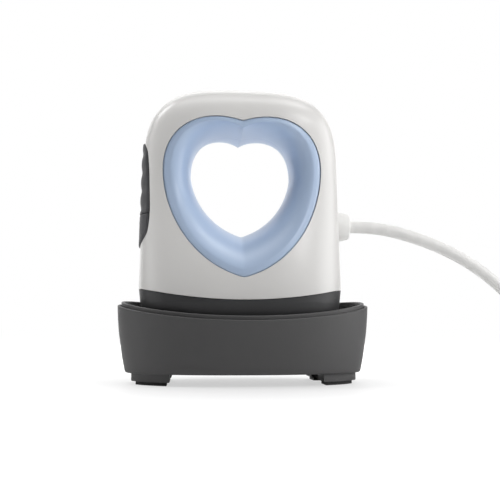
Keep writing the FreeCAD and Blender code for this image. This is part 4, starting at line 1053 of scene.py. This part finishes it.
def plug_face():
    """X at which the blades and the pin start, just inside the plug."""
    return PLUG_START + PLUG_SLEEVE + PLUG_LENGTH - 0.2


def plug_blade(y):
    """Flat blade with softened edges and a bevelled tip."""
    face = plug_face()
    low = PLUG_Z - BLADE_WIDTH
    edge = 0.1
    rows = []
    for reach, inset, thin in ((0.0, 0.0, BLADE_HALF_THICKNESS),
                               (BLADE_LENGTH - BLADE_TIP, 0.0, BLADE_HALF_THICKNESS),
                               (BLADE_LENGTH, 0.9, 0.35)):
        bottom = low + inset
        top = PLUG_Z - inset
        section = ((-thin, bottom + edge), (-thin + edge, bottom), (thin - edge, bottom),
                   (thin, bottom + edge), (thin, top - edge), (thin - edge, top), (-thin + edge, top),
                   (-thin, top - edge))
        rows.append([(face + reach, y + across, z) for across, z in section])
    return surface(rows, cap_start=True, cap_end=True)


def earth_pin():
    """Round pin with a rounded tip."""
    straight_end = plug_face() + EARTH_PIN_REACH
    profile = [(plug_face(), EARTH_PIN_RADIUS), (straight_end, EARTH_PIN_RADIUS)]
    profile += [(straight_end + along, EARTH_PIN_RADIUS - EARTH_PIN_ROUND + across)
                for along, across in rounded_ring(EARTH_PIN_ROUND, 6, 90, 10)][1:]
    return lathe(profile, PLUG_Z + EARTH_PIN_RISE, PLUG_Y, 40)


def coil_tie():
    """Hook-and-loop strap wrapped round the coil's turns."""
    cord_radius = CORD_DIAMETER / 2
    inner = (COIL_INNER - cord_radius) / MM - TIE_CLEARANCE
    outer = (COIL_OUTER + cord_radius) / MM + TIE_CLEARANCE
    high = (COIL_LAYERS[-1] + cord_radius) / MM + 0.2
    centre_x, centre_y = (value / MM for value in COIL_CENTRE)
    corners = ((inner, 0.0, 180), (outer, 0.0, 270), (outer, high, 0), (inner, high, 90))
    loop = []
    for x, z, first in corners:
        turn_x = x + math.copysign(TIE_CORNER, (inner + outer) / 2 - x)
        turn_z = z + math.copysign(TIE_CORNER, high / 2 - z)
        for i in range(9):
            angle = math.radians(first + 90 * i / 8)
            loop.append((turn_x, turn_z, math.cos(angle), math.sin(angle)))
    edge = TIE_HALF_WIDTH - 0.2
    face = TIE_CORNER + TIE_THICKNESS
    between = TIE_CORNER + TIE_THICKNESS / 2
    section = ((-edge, TIE_CORNER), (-TIE_HALF_WIDTH, between), (-edge, face),
               (edge, face), (TIE_HALF_WIDTH, between), (edge, TIE_CORNER))
    rows = [[(centre_x + x + across * c, centre_y + side, max(z + across * s, 0.0)) for x, z, c, s in loop]
            for side, across in section]
    return surface(rows, wrap_rows=True)


# ------------------------ cord


def coil_points():
    """Turns of the spare cord, clockwise from above: down the inner column, then up the outer one."""
    per_turn = 16
    step = 360.0 / per_turn
    growth = 1 / math.cos(math.radians(step / 2))
    bottom, middle, top = COIL_LAYERS
    places = [(COIL_OUTER, top), (COIL_INNER, top), (COIL_INNER, middle), (COIL_INNER, bottom),
              (COIL_OUTER, bottom), (COIL_OUTER, middle)]
    shift_starts = []
    travelled = 0.0
    for run in COIL_RUNS:
        travelled += run
        shift_starts.append(travelled)
        travelled += COIL_SHIFT
    points = []
    angle = step
    while angle < COIL_END:
        radius, height = places[0]
        for (r0, z0), (r1, z1), start in zip(places, places[1:], shift_starts):
            share = smooth_step((angle - start) / COIL_SHIFT)
            radius += (r1 - r0) * share
            height += (z1 - z0) * share
        at = math.radians(90.0 - angle)
        points.append((COIL_CENTRE[0] + radius * growth * math.cos(at),
                       COIL_CENTRE[1] + radius * growth * math.sin(at), height))
        angle += step
    return points


def nurbs_curve(name, points):
    curve = bpy.data.curves.new(name, "CURVE")
    curve.dimensions = "3D"
    curve.resolution_u = 8
    spline = curve.splines.new("NURBS")
    spline.points.add(len(points) - 1)
    for point, place in zip(spline.points, points):
        point.co = (*place, 1)
    spline.order_u = 3
    spline.use_endpoint_u = True
    return new_object(name, curve)


def tube_along(points, diameter):
    """Tube through the points, and the places of its middle line."""
    curve = nurbs_curve("cord_route", points)
    bpy.context.view_layer.update()
    line = bpy.data.meshes.new_from_object(curve)
    path = [tuple(v.co) for v in line.vertices]
    curve.data.bevel_depth = diameter / 2
    curve.data.bevel_resolution = 5
    curve.data.use_fill_caps = True
    bpy.context.view_layer.update()
    tube = new_object("cord", bpy.data.meshes.new_from_object(curve))
    bpy.data.objects.remove(curve)
    tube.data.polygons.foreach_set("use_smooth", [True] * len(tube.data.polygons))
    return tube, path


def power_cord(finishes, attached):
    """The whole mains lead on one spline: hanging run, coil and tail to the plug."""
    tube, path = tube_along(CORD_ROUTE + coil_points() + TAIL_ROUTE, CORD_DIAMETER)
    tube.data.materials.clear()
    tube.data.materials.append(finishes["cord_white"])
    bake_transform(tube)
    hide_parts("power_cord", "cord_coil", "cord_tail")


# ------------------------ camera, lights and floor

SENSOR_WIDTH = 36.0
PICTURE_PIXELS = 500
FOCAL_PIXELS = 757
HORIZON_PIXELS = 82
CAMERA_PLACE = (-0.0307, -0.42894, 0.0280)
CAMERA_AZIMUTH = -4.6


def camera():
    """The photo's camera: close, low and looking up, so that the horizon lies below the middle."""
    data = bpy.data.cameras.new("camera")
    data.sensor_width = SENSOR_WIDTH
    data.lens = FOCAL_PIXELS / PICTURE_PIXELS * SENSOR_WIDTH
    cam = new_object("camera", data)
    cam.location = CAMERA_PLACE
    azimuth = math.radians(CAMERA_AZIMUTH)
    pitch = math.atan(HORIZON_PIXELS / FOCAL_PIXELS)
    ahead = Vector((-math.sin(azimuth) * math.cos(pitch), math.cos(azimuth) * math.cos(pitch),
                    math.sin(pitch)))
    cam.rotation_euler = ahead.to_track_quat("-Z", "Y").to_euler()
    bpy.context.scene.camera = cam


def area_light(name, place, target, size, power):
    data = bpy.data.lights.new(name, "AREA")
    data.shape = "RECTANGLE"
    data.size = size[0]
    data.size_y = size[1]
    data.energy = power
    lamp = new_object(name, data)
    lamp.location = place
    lamp.rotation_euler = (Vector(target) - Vector(place)).to_track_quat("-Z", "Y").to_euler()
    lamp.visible_camera = False
    return lamp


def lights():
    """White wall behind, soft boxes round and above the object, and panels that light it from the table."""
    middle = (0.0, 0.0, 0.09)
    wall_place = (0.0, 1.2, 0.45)
    wall_size = (2.2, 1.4)
    area_light("backdrop", wall_place, middle, wall_size, 13.0)
    matt_backdrop = area_light("matt_backdrop", wall_place, middle, wall_size, 6.0)
    matt_backdrop.visible_glossy = False
    area_light("key_right", (0.52, -0.70, 0.66), middle, (0.2, 0.2), 2.1)
    area_light("right_side", (1.00, -0.20, 0.30), middle, (0.7, 0.9), 6.5)
    area_light("left_side", (-1.00, 0.00, 0.35), middle, (0.5, 0.8), 1.7)
    area_light("over_left", (-0.62, 0.12, 0.82), middle, (0.2, 0.4), 3.3)
    area_light("over_right", (0.40, -0.15, 0.95), middle, (0.25, 0.25), 1.1)
    area_light("over_middle", (0.0, -0.2, 1.05), middle, (0.9, 0.25), 2.8)
    area_light("over_back", (0.0, 0.55, 0.90), middle, (0.9, 0.25), 1.9)
    area_light("table_front", (0.0, -0.6, 0.02), (0.0, -0.6, 1.0), (1.6, 0.8), 2.0)
    area_light("table_back", (0.0, 0.6, 0.02), (0.0, 0.6, 1.0), (1.6, 0.8), 0.5)


def world():
    """White for the camera and through clear pieces; it gives no light of its own."""
    made = bpy.data.worlds.new("studio")
    bpy.context.scene.world = made
    made.use_nodes = True
    tree = made.node_tree
    background = tree.nodes["Background"]
    background.inputs["Color"].default_value = (1, 1, 1, 1)
    path = tree.nodes.new("ShaderNodeLightPath")
    either = tree.nodes.new("ShaderNodeMath")
    either.operation = "MAXIMUM"
    tree.links.new(path.outputs["Is Camera Ray"], either.inputs[0])
    tree.links.new(path.outputs["Is Transmission Ray"], either.inputs[1])
    tree.links.new(either.outputs[0], background.inputs["Strength"])


def floor():
    """Pale table that goes over into the white studio a hand's breadth away from the object: for the camera a
    dark tone plus painted light (emission) that is weaker near the object, a painted shadow round it, and
    plain white further off.
    """
    half = 40.0
    bounce_tone = (0.8, 0.8, 0.8)
    # dark tone that the camera sees, under the painted light of the emission
    seen_tone = (0.25, 0.25, 0.25)
    plane = mesh_object("floor", [(-half, -half, 0), (half, -half, 0), (half, half, 0), (-half, half, 0)],
                        [(0, 1, 2, 3)], smooth=False)
    made = Nodes("floor", bounce_tone, 0.6)
    made.shader.inputs["Specular IOR Level"].default_value = 0.2
    made.shader.inputs["Emission Color"].default_value = (1, 1, 1, 1)
    distance = made.node("ShaderNodeVectorMath", operation="LENGTH")
    made.link(made.place(), distance.inputs[0])
    # painted light: camera-seen emission that grows with distance from the object, so the floor close to it
    # is painted darker as shade
    painted_floor_light = made.spread(distance.outputs["Value"], 0.58, 1.0, 0.05, 0.20)
    path = made.node("ShaderNodeLightPath")
    tone = made.blend(path.outputs["Is Camera Ray"], bounce_tone, seen_tone)
    made.link(tone, made.shader.inputs["Base Color"])
    seen = made.node("ShaderNodeMath", operation="MULTIPLY")
    made.link(path.outputs["Is Camera Ray"], seen.inputs[0])
    made.link(painted_floor_light, seen.inputs[1])
    made.link(seen.outputs[0], made.shader.inputs["Emission Strength"])
    plane.data.materials.append(made.material)


# ------------------------ the scene


def press_pieces(finishes):
    """Detailed pieces that lift with the press. Gives the strain relief."""
    at = (PRESS_X, 0, 0)
    cover("front_cover", "front_shell", finishes)
    cover("rear_cover", "rear_shell", finishes)
    piece("front_heart", heart_bezel(-1), "bezel_blue", finishes, "press", ["front_heart_bezel"], at)
    piece("rear_heart", heart_bezel(1), "bezel_blue", finishes, "press", ["rear_heart_bezel"], at)
    pad = pad_piece(PAD_SPLIT, PAD_TOP, True, False, ripple_relief, PAD_FOOT)
    piece("ripple_pad", pad, "grip_rubber", finishes, "press", ["grip_pad"], at)
    piece("button", mode_button(), "button_grey", finishes, "button", ["mode_button"], at)
    piece("lens", indicator_lens(), "lens_clear", finishes, "button", ["indicator_lens"], at)
    return piece("relief", strain_relief(), "cord_white", finishes, "press", ["cord_strain_relief"], at,
                 sharp=50)


def cradle_pieces(finishes):
    """Detailed pieces that stay on the table. Gives those that belong to the cord."""
    piece("dish", cradle_shell(), "cradle_grey", finishes, "cradle", ["cradle_shell"])
    piece("tray", cradle_tray(), "cradle_grey", finishes, "cradle", ["cradle_tray"])
    body = piece("plug", plug_body(), "cord_white", finishes, "cradle", ["plug_body"], sharp=45)
    blades = merge([plug_blade(PLUG_Y - BLADE_Y), plug_blade(PLUG_Y + BLADE_Y), earth_pin()])
    pins = piece("pins", blades, "blade_brass", finishes, "cradle", ["plug_blades"])
    strap = piece("strap", coil_tie(), "tie_black", finishes, "cradle", ["coil_tie"])
    return [strap, body, pins]


def main():
    finishes = finish_of_slots()
    dress_nodes(finishes)
    relief = press_pieces(finishes)
    power_cord(finishes, [relief] + cradle_pieces(finishes))
    camera()
    lights()
    world()
    floor()
    bpy.context.scene.view_settings.view_transform = "Standard"


main()
